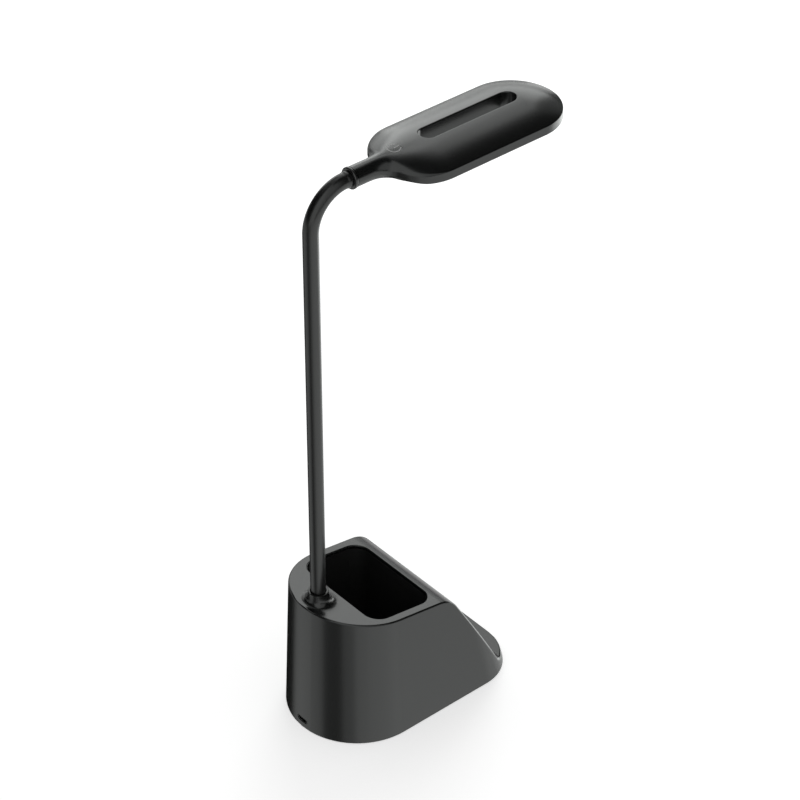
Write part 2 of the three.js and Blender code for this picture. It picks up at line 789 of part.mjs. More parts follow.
// Ring of points round the centre line at run, pushed along it by ahead in a straight line
function stemRing(run, ahead, diameter, sides) {
  const along = stemDirection(run);
  const centre = stemPoint(run).addScaledVector(along, ahead);
  const across = new THREE.Vector3().crossVectors(sideways, along);
  return Array.from({ length: sides }, (_, index) => {
    const angle = (index / sides) * 2 * Math.PI;
    const spoke = across.clone().multiplyScalar(Math.cos(angle)).addScaledVector(sideways, Math.sin(angle));
    return centre.clone().addScaledVector(spoke, diameter / 2);
  });
}

// Joint places along the centre line: up the stem, halfway round the bend and at its end
const jointRuns = Array.from({ length: stemJointCount }, (_, index) => {
  return stemFoot + lerp(firstJointRise, lastStemJointRise, index / (stemJointCount - 1));
});
jointRuns.push(bendStart + bendLength / 2, bendStart + bendLength + bendEnd);

// Places along a link where it gets a ring: only its ends on a straight stretch, and steps in the bend
function linkRuns(start, end) {
  const runs = [start];
  if (end > bendStart) {
    const from = Math.max(start, bendStart);
    const steps = bendSteps;
    for (let step = start < bendStart ? 0 : 1; step < steps; step++) {
      runs.push(lerp(from, end, step / steps));
    }
  }
  runs.push(end);
  return runs;
}

// Height over a ball's centre where a bore or skin of that diameter meets the ball
function ballHeight(ballDiameter, diameter) {
  return Math.sqrt(Math.max(0, ballDiameter ** 2 - diameter ** 2)) / 2;
}

// A link's tube. Its far end is a ball that turns in the next link's round socket; plain ends are flat.
const sleeveBore = sleeveDiameter - 2 * sleeveWall;
function sleeveLink(name, start, end, socketed) {
  const rimAhead = socketed ? ballHeight(socketDiameter, sleeveDiameter) : 0;
  const boreAhead = socketed ? ballHeight(socketDiameter, sleeveBore) : 0;
  const inside = linkRuns(start + boreAhead, end);
  const rings = [stemRing(start, rimAhead, sleeveDiameter, roundSides)];
  for (const run of inside.slice(1)) {
    rings.push(stemRing(run, 0, sleeveDiameter, roundSides));
  }
  const ballTop = ballHeight(sleeveDiameter, sleeveBore);
  for (let step = 1; step <= filletSteps; step++) {
    const ahead = (ballTop * step) / filletSteps;
    rings.push(stemRing(end, ahead, 2 * ballHeight(sleeveDiameter, 2 * ahead), roundSides));
  }
  for (const run of inside.slice(1).reverse()) {
    rings.push(stemRing(run, 0, sleeveBore, roundSides));
  }
  rings.push(stemRing(start, boreAhead, sleeveBore, roundSides));
  if (socketed) {
    const middle = (rimAhead + boreAhead) / 2;
    rings.push(stemRing(start, middle, 2 * ballHeight(socketDiameter, 2 * middle), roundSides));
  }
  return piece(name, solid(skin(rings, 'joined')), sleeveBlack);
}
function coreLink(name, start, end, socketed) {
  const startAhead = socketed ? socketDiameter / 2 + fit : 0;
  const endAhead = ballHeight(sleeveDiameter, sleeveBore) - fit;
  const runs = linkRuns(start + startAhead, end);
  const ringsAt = (diameter) => {
    const first = stemRing(runs[0], 0, diameter, smallSides);
    const middle = runs.slice(1, -1).map((run) => stemRing(run, 0, diameter, smallSides));
    return [first, ...middle, stemRing(end, endAhead, diameter, smallSides)];
  };
  const rings = [...ringsAt(coreDiameter), ...ringsAt(coreBore).reverse()];
  return piece(name, solid(skin(rings, 'joined')), steel);
}
function gooseneck() {
  return jointRuns.flatMap((end, index) => {
    const start = index === 0 ? stemBossBottom : jointRuns[index - 1];
    const sleeveStart = index === 0 ? ferruleTop + fit : start;
    return [
      sleeveLink(`gooseneck_sleeve_${index + 1}`, sleeveStart, end, index > 0),
      coreLink(`gooseneck_core_${index + 1}`, start, end, index > 0),
    ];
  });
}

// Steel ferrule crimped on the lower end, with an oval flange screwed to the housing's boss
function stemFerrule() {
  const flangeBottom = stemBossBottom - ferruleFlangeThickness - fit;
  const flangeTop = stemBossBottom - fit;
  const offset = (ferruleFlangeLength - ferruleFlangeWidth) / 2;
  const oval = stadium(-offset, offset, ferruleFlangeWidth);
  let body = prism(oval, flangeBottom, flangeTop).rotate([0, 0, 90]).translate([stemX, 0, 0]);
  body = body.add(column(ferruleDiameter, flangeBottom, ferruleTop, stemX));
  body = body.subtract(column(coreDiameter + 2 * fit, stemBossBottom - fit, ferruleTop + overrun, stemX));
  body = body.subtract(column(coreBore, flangeBottom - overrun, ferruleTop, stemX, 0, smallSides));
  for (const [x, y] of ferruleScrewPlaces) {
    const hole = flangeScrew.shank + 2 * fit;
    body = body.subtract(column(hole, flangeBottom - overrun, flangeTop + overrun, x, y, smallSides));
  }
  return piece('stem_ferrule', body, steel);
}
function ferruleScrews() {
  const seat = stemBossBottom - ferruleFlangeThickness - 2 * fit;
  return ferruleScrewPlaces.map(([x, y], index) => {
    return piece(`ferrule_screw_${index + 1}`, screw(flangeScrew, seat, x, y), steel);
  });
}

// Ring and shank that carry the head: turned about the level end of the gooseneck
function neckFerrule() {
  const front = neckSeatFront + neckShankReach;
  let body = bar(neckRingDiameter, ringBack, ringFront, axisHeight, 2 * smallSides);
  body = body.add(bar(neckShankDiameter, ringBack, front, axisHeight));
  const ball = new THREE.SphereGeometry(socketDiameter / 2, roundSides, smallSides);
  ball.rotateZ(Math.PI / 2);
  ball.translate(lastJointX, 0, axisHeight);
  body = body.subtract(solid(ball));
  body = body.subtract(bar(coreBore, ringBack - overrun, front + overrun, axisHeight, smallSides));
  const grooveBack = neckSeatFront + fit;
  const groove = bar(neckRingDiameter, grooveBack, grooveBack + clipThickness + fit, axisHeight);
  const root = bar(neckShankDiameter - 2 * clipGroove, ringBack, front, axisHeight);
  return piece('neck_ferrule', body.subtract(groove.subtract(root)), blackSteel);
}
function neckClip() {
  const back = neckSeatFront + fit + fit / 2;
  const middle = neckShankDiameter - 2 * clipGroove + fit;
  let body = bar(clipDiameter, back, back + clipThickness, axisHeight);
  body = body.subtract(bar(middle, back - overrun, back + overrun, axisHeight));
  const gap = middle / 3;
  const low = axisHeight - clipDiameter;
  body = body.subtract(block(back - overrun, back + overrun, -gap, gap, low, axisHeight));
  return piece('neck_clip', body, steel);
}

// Head: sections across X, from the round neck to the flat tip
const headFront = headFrontCentre + headWidth / 2;
const neckFront = neckBack + neckStraight;

// Half-width of the head seen from above: a fillet leads from the neck's side to the round end
function headHalfWidth(x) {
  const radius = headWidth / 2;
  const neckHalf = neckDiameter / 2;
  const filletY = neckHalf + neckFillet;
  const filletX = headBackCentre - Math.sqrt((radius + neckFillet) ** 2 - filletY ** 2);
  const meetX = lerp(headBackCentre, filletX, radius / (radius + neckFillet));
  if (x < filletX) {
    return neckHalf;
  }
  if (x < meetX) {
    return filletY - Math.sqrt(neckFillet ** 2 - (x - filletX) ** 2);
  }
  const past = Math.max(headBackCentre - x, x - headFrontCentre, 0);
  return Math.sqrt(Math.max(0, radius ** 2 - past ** 2));
}
function ridgeHeight(x) {
  const past = Math.max(0, x - headFrontCentre) / (headWidth / 2);
  const ridge = lerp(axisHeight + neckDiameter / 2, headTop, smoothstep(x, neckBack, slotBackCentre));
  return ridge - (headTop - headCrease) * past ** 2;
}

// Shares of the half-width where a section has points, from the middle to the edge
const sectionShares = [0, 0.25, 0.5, 0.72, 0.88, 0.97];

// One section: a ring in the YZ plane, drawn in by inset; bottom gives its flat underside
function headSection(x, inset, bottom) {
  const half = Math.max(headHalfWidth(x) - inset, fit);
  const ridge = ridgeHeight(x) - inset;
  const boxy = smoothstep(x, neckFront, neckFront + neckFlare);
  const crease = Math.min(headCrease, ridge);
  const upper = sectionShares.map((share) => {
    const dome = crease + (ridge - crease) * (1 - share ** 2);
    const round = axisHeight + (neckDiameter / 2 - inset) * Math.sqrt(1 - share ** 2);
    return new THREE.Vector3(x, share * half, lerp(round, dome, boxy));
  });
  const creaseZ = lerp(axisHeight, crease - headCreaseEdge, boxy);
  const lower = [...sectionShares].reverse().map((share) => {
    const round = axisHeight - (neckDiameter / 2 - inset) * Math.sqrt(1 - share ** 2);
    return new THREE.Vector3(x, share * half, lerp(round, bottom, boxy));
  });
  const side = [...upper, new THREE.Vector3(x, half, creaseZ)];
  side.push(new THREE.Vector3(x, half, lerp(axisHeight - fit, bottom + fit, boxy)));
  side.push(...lower);
  const other = side.slice(1, -1).reverse().map((point) => new THREE.Vector3(x, -point.y, point.z));
  return [...side, ...other];
}
function headPlaces(from, inset) {
  const places = [];
  const radius = headWidth / 2 - inset;
  const neckSteps = 2 * filletSteps;
  for (let step = 0; step <= neckSteps; step++) {
    places.push(lerp(neckBack, headBackCentre - headWidth / 2 + neckRingLength, step / neckSteps));
  }
  for (let step = 2; step <= arcSteps; step++) {
    places.push(headBackCentre - radius * Math.cos((step / arcSteps) * (Math.PI / 2)));
  }
  for (let step = 0; step < arcSteps; step++) {
    places.push(headFrontCentre + radius * Math.sin((step / arcSteps) * (Math.PI / 2)));
  }
  places.push(headFront - inset - fit / 2);
  return [from, ...places.sort((a, b) => a - b).filter((x) => x > from + fit)];
}
function headForm(from, inset, bottom) {
  const rings = headPlaces(from, inset).map((x) => headSection(x, inset, bottom));
  return solid(skin(rings));
}

const boardRound = (offset) => {
  const diagonal = offset * Math.SQRT1_2;
  return [
    [slotBackCentre - diagonal, diagonal],
    [slotBackCentre - diagonal, -diagonal],
    [slotFrontCentre + diagonal, diagonal],
    [slotFrontCentre + diagonal, -diagonal],
  ];
};
const lightScrewPlaces = boardRound(lightScrewOffset);
const lightBoardTop = lightBoardBottom + lightBoardThickness;
const tubeWidth = slotWidth + 2 * slotWall;

function headShell() {
  const outer = headForm(neckBack, 0, headBottom);
  const hollow = headForm(headBackCentre - headWidth / 2 + headWall, headWall, headBottom - overrun);
  let body = outer.subtract(hollow);
  const seatBack = neckSeatFront - neckSeatLength;
  const seatHalf = neckSeatWidth / 2;
  const seatBottom = headBottom + diffuserRecess + diffuserThickness + fit;
  body = body.add(block(seatBack, neckSeatFront, -seatHalf, seatHalf, seatBottom, headTop));
  body = body.add(prism(stadium(slotBackCentre, slotFrontCentre, tubeWidth), headBottom, headTop));
  for (const [x, y] of lightScrewPlaces) {
    body = body.add(column(lightScrew.boss, lightBoardTop + fit, headTop, x, y, smallSides));
  }
  body = body.intersect(outer);
  const slot = stadium(slotBackCentre, slotFrontCentre, slotWidth);
  body = body.subtract(prism(slot, headBottom - overrun, headTop + overrun));
  for (const [x, y] of lightScrewPlaces) {
    const top = lightBoardBottom + lightScrew.length + fit;
    body = body.subtract(column(lightScrew.shank + 2 * fit, lightBoardTop, top, x, y, leadSides));
  }
  body = body.subtract(bar(neckBore, neckBack - overrun, neckSeatFront + overrun, axisHeight));
  return piece('head_shell', body, satinBlack);
}

// Ring-shaped diffuser that closes the head from below
function diffuser() {
  const inset = headWall + fit;
  const bottom = headBottom + diffuserRecess;
  const top = bottom + diffuserThickness;
  const outline = stadium(headBackCentre, headFrontCentre, headWidth - 2 * inset);
  const hole = stadium(slotBackCentre, slotFrontCentre, tubeWidth + 2 * fit);
  const body = prism(outline, bottom, top).subtract(prism(hole, bottom - overrun, top + overrun));
  return piece('head_diffuser', body, milkyWhite);
}

// Light board with its light chips soldered on the underside, in one loop round the slot
function lightBoard() {
  const outline = stadium(slotBackCentre, slotFrontCentre, lightBoardWidth);
  const hole = stadium(slotBackCentre, slotFrontCentre, tubeWidth + 2 * fit);
  let body = prism(outline, lightBoardBottom, lightBoardTop);
  body = body.subtract(prism(hole, lightBoardBottom - overrun, lightBoardTop + overrun));
  const straight = slotFrontCentre - slotBackCentre;
  const radius = lightLoopWidth / 2;
  const loop = new THREE.Path();
  loop.moveTo(slotBackCentre, radius);
  loop.lineTo(slotFrontCentre, radius);
  loop.absarc(slotFrontCentre, 0, radius, Math.PI / 2, -Math.PI / 2, true);
  loop.lineTo(slotBackCentre, -radius);
  loop.absarc(slotBackCentre, 0, radius, -Math.PI / 2, -(3 * Math.PI) / 2, true);
  const count = Math.round((2 * straight + 2 * Math.PI * radius) / lightPitch);
  for (let index = 0; index < count; index++) {
    const share = (2 * index + 1) / (2 * count);
    const place = loop.getPointAt(share);
    const heading = loop.getTangentAt(share);
    const chip = new THREE.BoxGeometry(lightLength, lightWidth, lightHeight + lightBoardThickness / 2);
    chip.rotateZ(Math.atan2(heading.y, heading.x));
    chip.translate(place.x, place.y, lightBoardBottom + lightBoardThickness / 4 - lightHeight / 2);
    body = body.add(solid(chip));
  }
  for (const [x, y] of lightScrewPlaces) {
    const low = lightBoardBottom - overrun;
    const high = lightBoardTop + overrun;
    body = body.subtract(column(lightScrew.shank + 2 * fit, low, high, x, y, leadSides));
  }
  return piece('light_board', body, boardWhite);
}
function lightScrews() {
  return lightScrewPlaces.map(([x, y], index) => {
    return piece(`light_screw_${index + 1}`, screw(lightScrew, lightBoardBottom - fit, x, y), steel);
  });
}

// Touch contact: a disc under the power symbol, on a post that stands on the light board
function touchContact() {
  const top = ridgeHeight(touchX) - headWall - 2 * fit;
  const disc = column(touchDiameter, top - touchThickness, top, touchX, 0);
  const postTop = top - touchThickness / 2;
  const postX = touchX + touchDiameter / 3;
  const post = column(touchPostDiameter, lightBoardTop + fit, postTop, postX, 0, leadSides);
  return piece('touch_contact', disc.add(post), copper);
}
function lampLeadHead() {
  const start = neckSeatFront + neckShankReach + fit;
  const rest = lightBoardTop + fit + leadDiameter / 2;
  const side = -2 * leadDiameter;
  return lead('lamp_lead_head', [
    [start, 0, axisHeight],
    [start + leadDiameter, side / 3, axisHeight],
    [touchX, side, rest],
    [touchX + 2 * leadDiameter, side, rest],
  ], leadSides);
}

const lamp = new THREE.Group();
lamp.name = 'desk_lamp_with_pen_holder';
lamp.add(baseHousing(), penCup(), bottomCover(), nonSlipPad(), ballastWeight(), ...coverScrews());
lamp.add(batteryCell(), mainBoard(), usbSocket(), batteryLead(), lampLeadBase());
lamp.add(stemFerrule(), ...ferruleScrews(), ...gooseneck(), neckFerrule(), neckClip());
lamp.add(headShell(), diffuser(), lightBoard(), ...lightScrews(), touchContact(), lampLeadHead());

export default lamp;
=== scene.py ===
# %% [markdown]
# # A desk lamp with a pen holder
#
# The lamp has a weighted base that holds pens and a phone, a gooseneck that stays as it is bent, and a
# flat head with a slot through it. Nearly all of it is satin black plastic, so its look comes from smooth
# curved surfaces and from what they reflect. The lesson builds fine versions of the visible mouldings
# over a fixed frame of CAD solids, gives every piece a procedural finish, and lights it as a studio would.
#
# The frame is loaded first. Its solids say where each piece is, so nothing is placed by eye.

# %% Load the fixed frame
import json
import math

import bmesh
import bpy
import numpy as np
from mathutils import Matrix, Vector
from mathutils.bvhtree import BVHTree


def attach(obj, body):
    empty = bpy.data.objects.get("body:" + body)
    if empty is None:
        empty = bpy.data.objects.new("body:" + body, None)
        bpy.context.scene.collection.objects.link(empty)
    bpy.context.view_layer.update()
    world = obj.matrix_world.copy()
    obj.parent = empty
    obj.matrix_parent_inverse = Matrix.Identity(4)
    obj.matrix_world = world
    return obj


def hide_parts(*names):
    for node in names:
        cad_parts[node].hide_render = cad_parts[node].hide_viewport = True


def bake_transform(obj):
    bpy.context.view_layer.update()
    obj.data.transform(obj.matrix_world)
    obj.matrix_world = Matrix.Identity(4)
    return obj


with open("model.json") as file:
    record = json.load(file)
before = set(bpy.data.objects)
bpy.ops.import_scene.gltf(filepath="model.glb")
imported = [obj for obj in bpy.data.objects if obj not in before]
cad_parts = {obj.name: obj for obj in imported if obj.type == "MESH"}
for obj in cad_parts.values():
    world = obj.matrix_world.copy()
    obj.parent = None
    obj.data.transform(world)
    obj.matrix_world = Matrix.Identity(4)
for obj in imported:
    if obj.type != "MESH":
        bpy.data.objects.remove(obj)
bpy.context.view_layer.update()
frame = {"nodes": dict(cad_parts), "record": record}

print("nodes:", len(frame["nodes"]))

# %% [markdown]
# ## Tools for smooth mouldings
#
# A moulding such as the base is easiest to describe by rings: closed loops of points, one above the other,
# which are joined by bands of faces. Such a loft keeps its faces in order, so light runs over it without
# ripples. Holes and hollows are then cut with Boolean operations, as in a real mould, where a core leaves
# the hollow. Lengths are written in millimetres, as on a drawing, and become metres in the mesh.

# %% Lofts and solids
MM = 0.001
TURN = 2 * math.pi
QUARTER = math.pi / 2
overrun = 2  # how far a cutter runs past the surface that it opens


def in_scene(name, data):
    piece = bpy.data.objects.new(name, data)
    bpy.context.scene.collection.objects.link(piece)
    return piece


def mesh_piece(name, points, edges=(), faces=(), unit=MM):
    """A mesh object from points in millimetres, or in another unit."""
    mesh = bpy.data.meshes.new(name)
    mesh.from_pydata((np.asarray(points, float) * unit).tolist(), edges, faces)
    return in_scene(name, mesh)


def closed(piece):
    """Merges the points that fall together at a pole, and turns the faces outwards."""
    mesh, work = piece.data, bmesh.new()
    work.from_mesh(mesh)
    bmesh.ops.remove_doubles(work, verts=work.verts, dist=0.00002)
    bmesh.ops.dissolve_degenerate(work, edges=work.edges, dist=0.00001)
    bmesh.ops.recalc_face_normals(work, faces=work.faces)
    work.to_mesh(mesh)
    work.free()
    return piece


def lofted(name, rings, ends="flat"):
    """A closed body stretched over rings of points. Ends are flat, strips across Y, or joined in a loop."""
    rings = np.asarray(rings, float)
    around = rings.shape[1]
    faces = []
    for span in range(len(rings) if ends == "joined" else len(rings) - 1):
        low, high = span * around, (span + 1) % len(rings) * around
        for point in range(around):
            after = (point + 1) % around
            faces.append((low + point, low + after, high + after, high + point))
    for first in (0, (len(rings) - 1) * around):
        if ends == "flat":
            faces.append(tuple(range(first, first + around)))
        if ends == "strips":
            faces.append((first, first + 1, first + around - 1))
            for left in range(1, around // 2):
                right = around - left
                faces.append((first + left, first + left + 1, first + right - 1, first + right))
    return closed(mesh_piece(name, rings.reshape(-1, 3), faces=faces))


def spread(start, end, steps):
    """Evenly spaced numbers, both ends included."""
    return np.linspace(start, end, steps + 1)


def thinned(places, gap):
    """Places in order, without those that lie within a gap of the one before."""
    places = np.unique(np.round(places, 4))
    return places[np.insert(np.diff(places) > gap, 0, True)]


def column(name, diameter, bottom, top, x, y, sides=48):
    """An upright round bar."""
    angles = spread(0, TURN, sides)[:-1]
    xs, ys = x + diameter / 2 * np.cos(angles), y + diameter / 2 * np.sin(angles)
    return lofted(name, [np.stack([xs, ys, np.full(sides, z)], 1) for z in (bottom, top)])


def quarter_round(radius, steps):
    """The points of a rounding, as pairs of lengths: one grows from 0 to the radius, one shrinks to 0."""
    return [(radius * (1 - math.cos(a)), radius * (1 - math.sin(a))) for a in spread(0, QUARTER, steps)]


def level(height):
    """A height function that gives the same height at every point of the plan."""
    return lambda x, *_: np.full(len(x), float(height))


def settled(piece):
    """Applies the piece's modifiers, so that a plain mesh is left."""
    bpy.context.view_layer.update()
    mesh = bpy.data.meshes.new_from_object(piece.evaluated_get(bpy.context.evaluated_depsgraph_get()))
    piece.modifiers.clear()
    piece.data = mesh
    return piece


def cut(piece, tool, operation="DIFFERENCE"):
    """Changes the piece with the tool's shape, and removes the tool."""
    step = piece.modifiers.new("cut", "BOOLEAN")
    step.operation = operation
    step.solver = "MANIFOLD"
    step.object = tool
    settled(piece)
    bpy.data.objects.remove(tool)
    return piece


def polished(piece, angle=32):
    """Smooths the shading up to an angle, with large faces holding their own direction."""
    for face in piece.data.polygons:
        face.use_smooth = True
    piece.data.set_sharp_from_angle(angle=math.radians(angle))
    weights = piece.modifiers.new("weights", "WEIGHTED_NORMAL")
    weights.keep_sharp = True
    weights.weight = 50
    mesh = settled(piece).data
    mesh.name = piece.name
    mesh.calc_loop_triangles()
    size = np.ptp(np.array(piece.bound_box), axis=0) / MM
    print(f"{piece.name}: {len(mesh.loop_triangles)} triangles, {size.round(1)} mm")
    return piece


# %% [markdown]
# ## The base housing
#
# The base is one moulding. Seen from above it is a rectangle with a half-round back and round front
# corners. Its walls lean inwards by two degrees, so that it leaves the mould, and its front leans more.
# From the side its top is a tilted plate, a round crest, a slope for the phone and a level ledge.
# Both outlines are drawings of few numbers, so the housing is a loft: each ring follows the plan at its
# height, and the topmost rings follow the side view too.

# %% Side view and plan of the base
base_width, base_length = 90, 143.8
front_corner, draft, lean = 30.5, math.radians(2.1), math.radians(15)
wall, edge, foot_gap, fit = 2.2, 1.2, 0.3, 0.3
base_back, base_front = -base_length / 2, base_length / 2
rear_centre = base_back + base_width / 2
plate_height, plate_tilt = 89.2, math.radians(8.17)
slope_angle, crest_radius = math.radians(60.3), 20
crest_x, lean_start = base_front - 58.7, base_front - 41.9
ledge_height, ledge_radius = 7.6, 6


def plate(x):
    return plate_height - math.tan(plate_tilt) * (x - rear_centre)


def unit_vector(vector):
    return vector / np.hypot(*vector)


def filleted(corners):
    """A path through corners, each given as (x, z, radius, steps), with the corners rounded."""
    path = [corners[0][:2]]
    for before, here, after in zip(corners, corners[1:], corners[2:]):
        point = np.array(here[:2], float)
        to_before, to_after = (unit_vector(np.array(other[:2]) - point) for other in (before, after))
        half = math.acos(np.dot(to_before, to_after)) / 2
        centre = point + unit_vector(to_before + to_after) * here[2] / math.sin(half)
        start = point + to_before * here[2] / math.tan(half) - centre
        end = point + to_after * here[2] / math.tan(half) - centre
        for share in spread(0, 1, here[3]):
            path.append(centre + unit_vector(start * (1 - share) + end * share) * here[2])
    return np.array(path + [corners[-1][:2]], float)


slope_foot = crest_x + (plate(crest_x) - ledge_height) / math.tan(slope_angle)
side_view = filleted([
    (base_back - overrun, plate(base_back - overrun), 0, 0),
    (crest_x, plate(crest_x), crest_radius, 30),
    (slope_foot, ledge_height, ledge_radius, 10),
    (base_front + overrun, ledge_height, 0, 0),
])
print("side view:", len(side_view), "points, crest at", round(side_view[:, 1].max(), 1), "mm")


def height_over(x):
    return np.interp(x, side_view[:, 0], side_view[:, 1])


def height_under(x, depth):
    """The surface that lies a wall's depth under the top, found by rolling a circle along it."""
    angles = spread(-QUARTER, QUARTER, 24)
    return np.min([height_over(x + depth * math.sin(a)) - depth * math.cos(a) for a in angles], axis=0)


def half_width(x, inset, height):
    """Half the base's width at x, drawn in by inset, at a height."""
    shrink = inset + height * math.tan(draft)
    radius, corner = base_width / 2 - shrink, front_corner - shrink
    corner_x = base_front - inset - height * math.tan(lean) - corner
    back = np.sqrt(np.maximum(0, radius**2 - (x - rear_centre) ** 2))
    front = radius - corner + np.sqrt(np.maximum(0, corner**2 - (x - corner_x) ** 2))
    return np.where(x < rear_centre, back, np.where(x < corner_x, radius, front))


# %% Rings of the base
def place_below(x, height):
    """The place on the ground that the front's lean moves to x at a height."""
    reach, shift = base_front - lean_start, height * math.tan(lean)
    return np.where(x > lean_start, (x * reach - lean_start * shift) / (reach - shift), x)


arc = spread(0, QUARTER, 72)
stations = np.concatenate([
    place_below(side_view[:, 0], side_view[:, 1]), spread(rear_centre, base_front, 60),
    rear_centre - base_width / 2 * np.cos(arc), base_front - front_corner + front_corner * np.sin(arc),
])
stations = thinned(stations[(stations >= base_back) & (stations <= base_front)], 0.12)
stations[-1] = base_front


def base_ring(inset, height_of):
    """A ring round the base. Its back shrinks about its centre, and its front leans back."""
    share = np.maximum(0, (stations - lean_start) / (base_front - lean_start))
    back = stations < rear_centre
    x, z = stations.copy(), height_of(stations)
    for _ in range(20):
        radius = base_width / 2 - inset - z * math.tan(draft)
        shifted = stations - share * (inset + z * math.tan(lean))
        x = np.where(back, rear_centre - (rear_centre - stations) * radius / (base_width / 2), shifted)
        y = half_width(x, inset, z)
        z = height_of(x)
    y[0] = 0
    half = np.stack([x, y, z], 1)
    return np.concatenate([half, half[:0:-1] * (1, -1, 1)])


def steepness(x):
    """How much longer the top's outline is at x than its plan."""
    return np.hypot(1, (height_over(x + edge / 2) - height_over(x - edge / 2)) / edge)


def outer_form():
    """The housing from outside: a rounded foot, the leaning wall, and the rounding that leads to the top."""
    foot, rings = 0.4, []
    for up, inset in quarter_round(foot, 3):
        rings.append(base_ring(inset, level(foot_gap + up)))
    low = foot_gap + foot
    for share in spread(0, 1, 12)[1:-1]:
        rings.append(base_ring(0, lambda x, s=share: low + (height_over(x) - edge * steepness(x) - low) * s))
    for inset, drop in quarter_round(edge, 6):
        rings.append(base_ring(inset, lambda x, d=drop: height_over(x) - d * steepness(x)))
    return lofted("base_shell", rings, "strips")


def inner_form(depth):
    """The hollow that lies a wall's depth inside the housing. It runs out past the foot."""
    below = base_ring(depth, level(-1.2))
    return lofted("hollow", [below, base_ring(depth, lambda x: height_under(x, depth))], "strips")


# %% [markdown]
# ## The pen well, the collar and the port
#
# The well's mouth is a rounded rectangle with a small rounding where it meets the plate, so its cutter
# flares at the top. The collar is a trumpet that rises from the plate to the gooseneck. It starts level
# with the plate, wherever that is, so it blends in all round. Its foot is shorter at the back, where the
# plate ends. Each is a few rings again. The bosses inside are left standing by taking them out of the
# core that makes the hollow.

# %% Cutters of the base
well_back, well_front = base_back + 29.9, crest_x - 8.7
well_width, well_corner, well_rim = base_width - 19, 10, 0.8
cup_draft, cup_wall, cup_bottom = math.radians(1.5), 1.8, 12.1
cup_flange, cup_flange_thickness, cup_flange_bottom = 3, 1.6, 70
well_floor, floor_round = cup_bottom + cup_wall, 2
stem_x = base_back + 15.1
stem_foot = plate(stem_x) - 0.4


def well_ring(outset, height_of):
    """A rounded rectangle as wide as the well's mouth and its outset, and narrower further down."""
    depth = plate(well_back) - float(height_of(np.array([well_back]))[0])
    grow = outset - max(0, depth * math.tan(cup_draft))
    back, front, corner = well_back - grow, well_front + grow, well_corner + grow
    points = []
    for x, side, start in ((back + corner, 1, 2 * QUARTER), (front - corner, 1, QUARTER),
                           (front - corner, -1, 0), (back + corner, -1, -QUARTER)):
        y = side * (well_width / 2 + grow - corner)
        for angle in spread(start, start - QUARTER, 14):
            points.append((x + corner * math.cos(angle), y + corner * math.sin(angle)))
    points = np.array(points)
    return np.column_stack([points, height_of(points[:, 0])])


def well_space():
    """The room for the pens: a rounded floor, the wall, and a mouth that flares."""
    rings = []
    for up, inset in quarter_round(floor_round, 5):
        rings.append(well_ring(-inset, level(well_floor + up)))
    for outset, drop in quarter_round(well_rim, 6):
        rings.append(well_ring(outset, lambda x, d=drop: height_over(x) - d))
    rings.append(well_ring(well_rim, lambda x: plate(x) + overrun))
    return lofted("well_space", rings)


def collar():
    rim, rise, sink, lip_in, lip_up = 6.3, 8.8, 0.004, 0.21, 0.14
    foot_reach, shorter_behind, flare, sides = 17, 6, 1.8, 96
    angles = spread(0, TURN, sides)[:-1]
    foot = foot_reach - shorter_behind * np.maximum(0, -np.cos(angles)) ** 2
    high = stem_foot + rise
    rings = []
    for a in np.insert(spread(0, QUARTER, 20), 0, -1):
        radius = foot - (foot - rim) * math.sin(max(a, 0))
        climb = (1 - math.cos(max(a, 0))) ** flare
        x, y = stem_x + radius * np.cos(angles), radius * np.sin(angles)
        low = plate(x) - (1 if a < 0 else sink)
        rings.append(np.stack([x, y, low + (high - low) * climb], 1))
    for a in spread(0, QUARTER, 4)[1:]:
        radius = rim - lip_in * (math.sin(a) + 1 - math.cos(a))
        x, y = stem_x + radius * np.cos(angles), radius * np.sin(angles)
        rings.append(np.stack([x, y, np.full(sides, high + lip_up * math.sin(a))], 1))
    return lofted("collar", rings)


socket_width, socket_height, socket_z = 8.94, 3.26, 5.93


def port_space(grow, back, front):
    radius, side, steps = socket_height / 2 + grow, (socket_width - socket_height) / 2, 16
    angles = np.concatenate([spread(-QUARTER, QUARTER, steps), spread(QUARTER, 3 * QUARTER, steps)])
    y = np.repeat([side, -side], steps + 1) + radius * np.cos(angles)
    z = socket_z + radius * np.sin(angles)
    return lofted("port_space", [np.stack([np.full(len(y), x), y, z], 1) for x in (back, front)])


# %% Make the base housing
boss, boss_bottom, boss_top, boss_sink = 8.8, 3.1, 24.8, 0.5
screw_hole, screw_hole_bottom, screw_hole_top = 3.2, 0.8, 15.1
stem_boss, flange_boss, flange_reach, stem_bore = 19, 7, 12, 10.2
stem_boss_bottom, stem_boss_top = stem_foot - 23.1, stem_foot + 9
bore_bottom, bore_top, port_depth = stem_boss_bottom - 2.9, stem_foot + 12, 10
reach = base_width / 2 - wall - boss / 2 + boss_sink
diagonal = reach * math.sqrt(0.5)
corners = ((rear_centre - diagonal, diagonal), (crest_x + 23.6, reach))
screw_places = [(x, side * y) for x, y in corners for side in (1, -1)]

hollow = inner_form(wall)
for x, y in screw_places:
    cut(hollow, column("boss", boss, boss_bottom, boss_top, x, y))
for diameter, y in ((stem_boss, 0), (flange_boss, -flange_reach), (flange_boss, flange_reach)):
    cut(hollow, column("boss", diameter, stem_boss_bottom, stem_boss_top, stem_x, y))

base_shell = cut(outer_form(), collar(), "UNION")
cut(base_shell, hollow)
for x, y in screw_places:
    cut(base_shell, column("screw_hole", screw_hole, screw_hole_bottom, screw_hole_top, x, y))
cut(base_shell, column("bore", stem_bore, bore_bottom, bore_top, stem_x, 0, 96))
cut(base_shell, well_space())
cut(base_shell, port_space(fit, base_back - overrun, base_back + port_depth))
polished(base_shell)

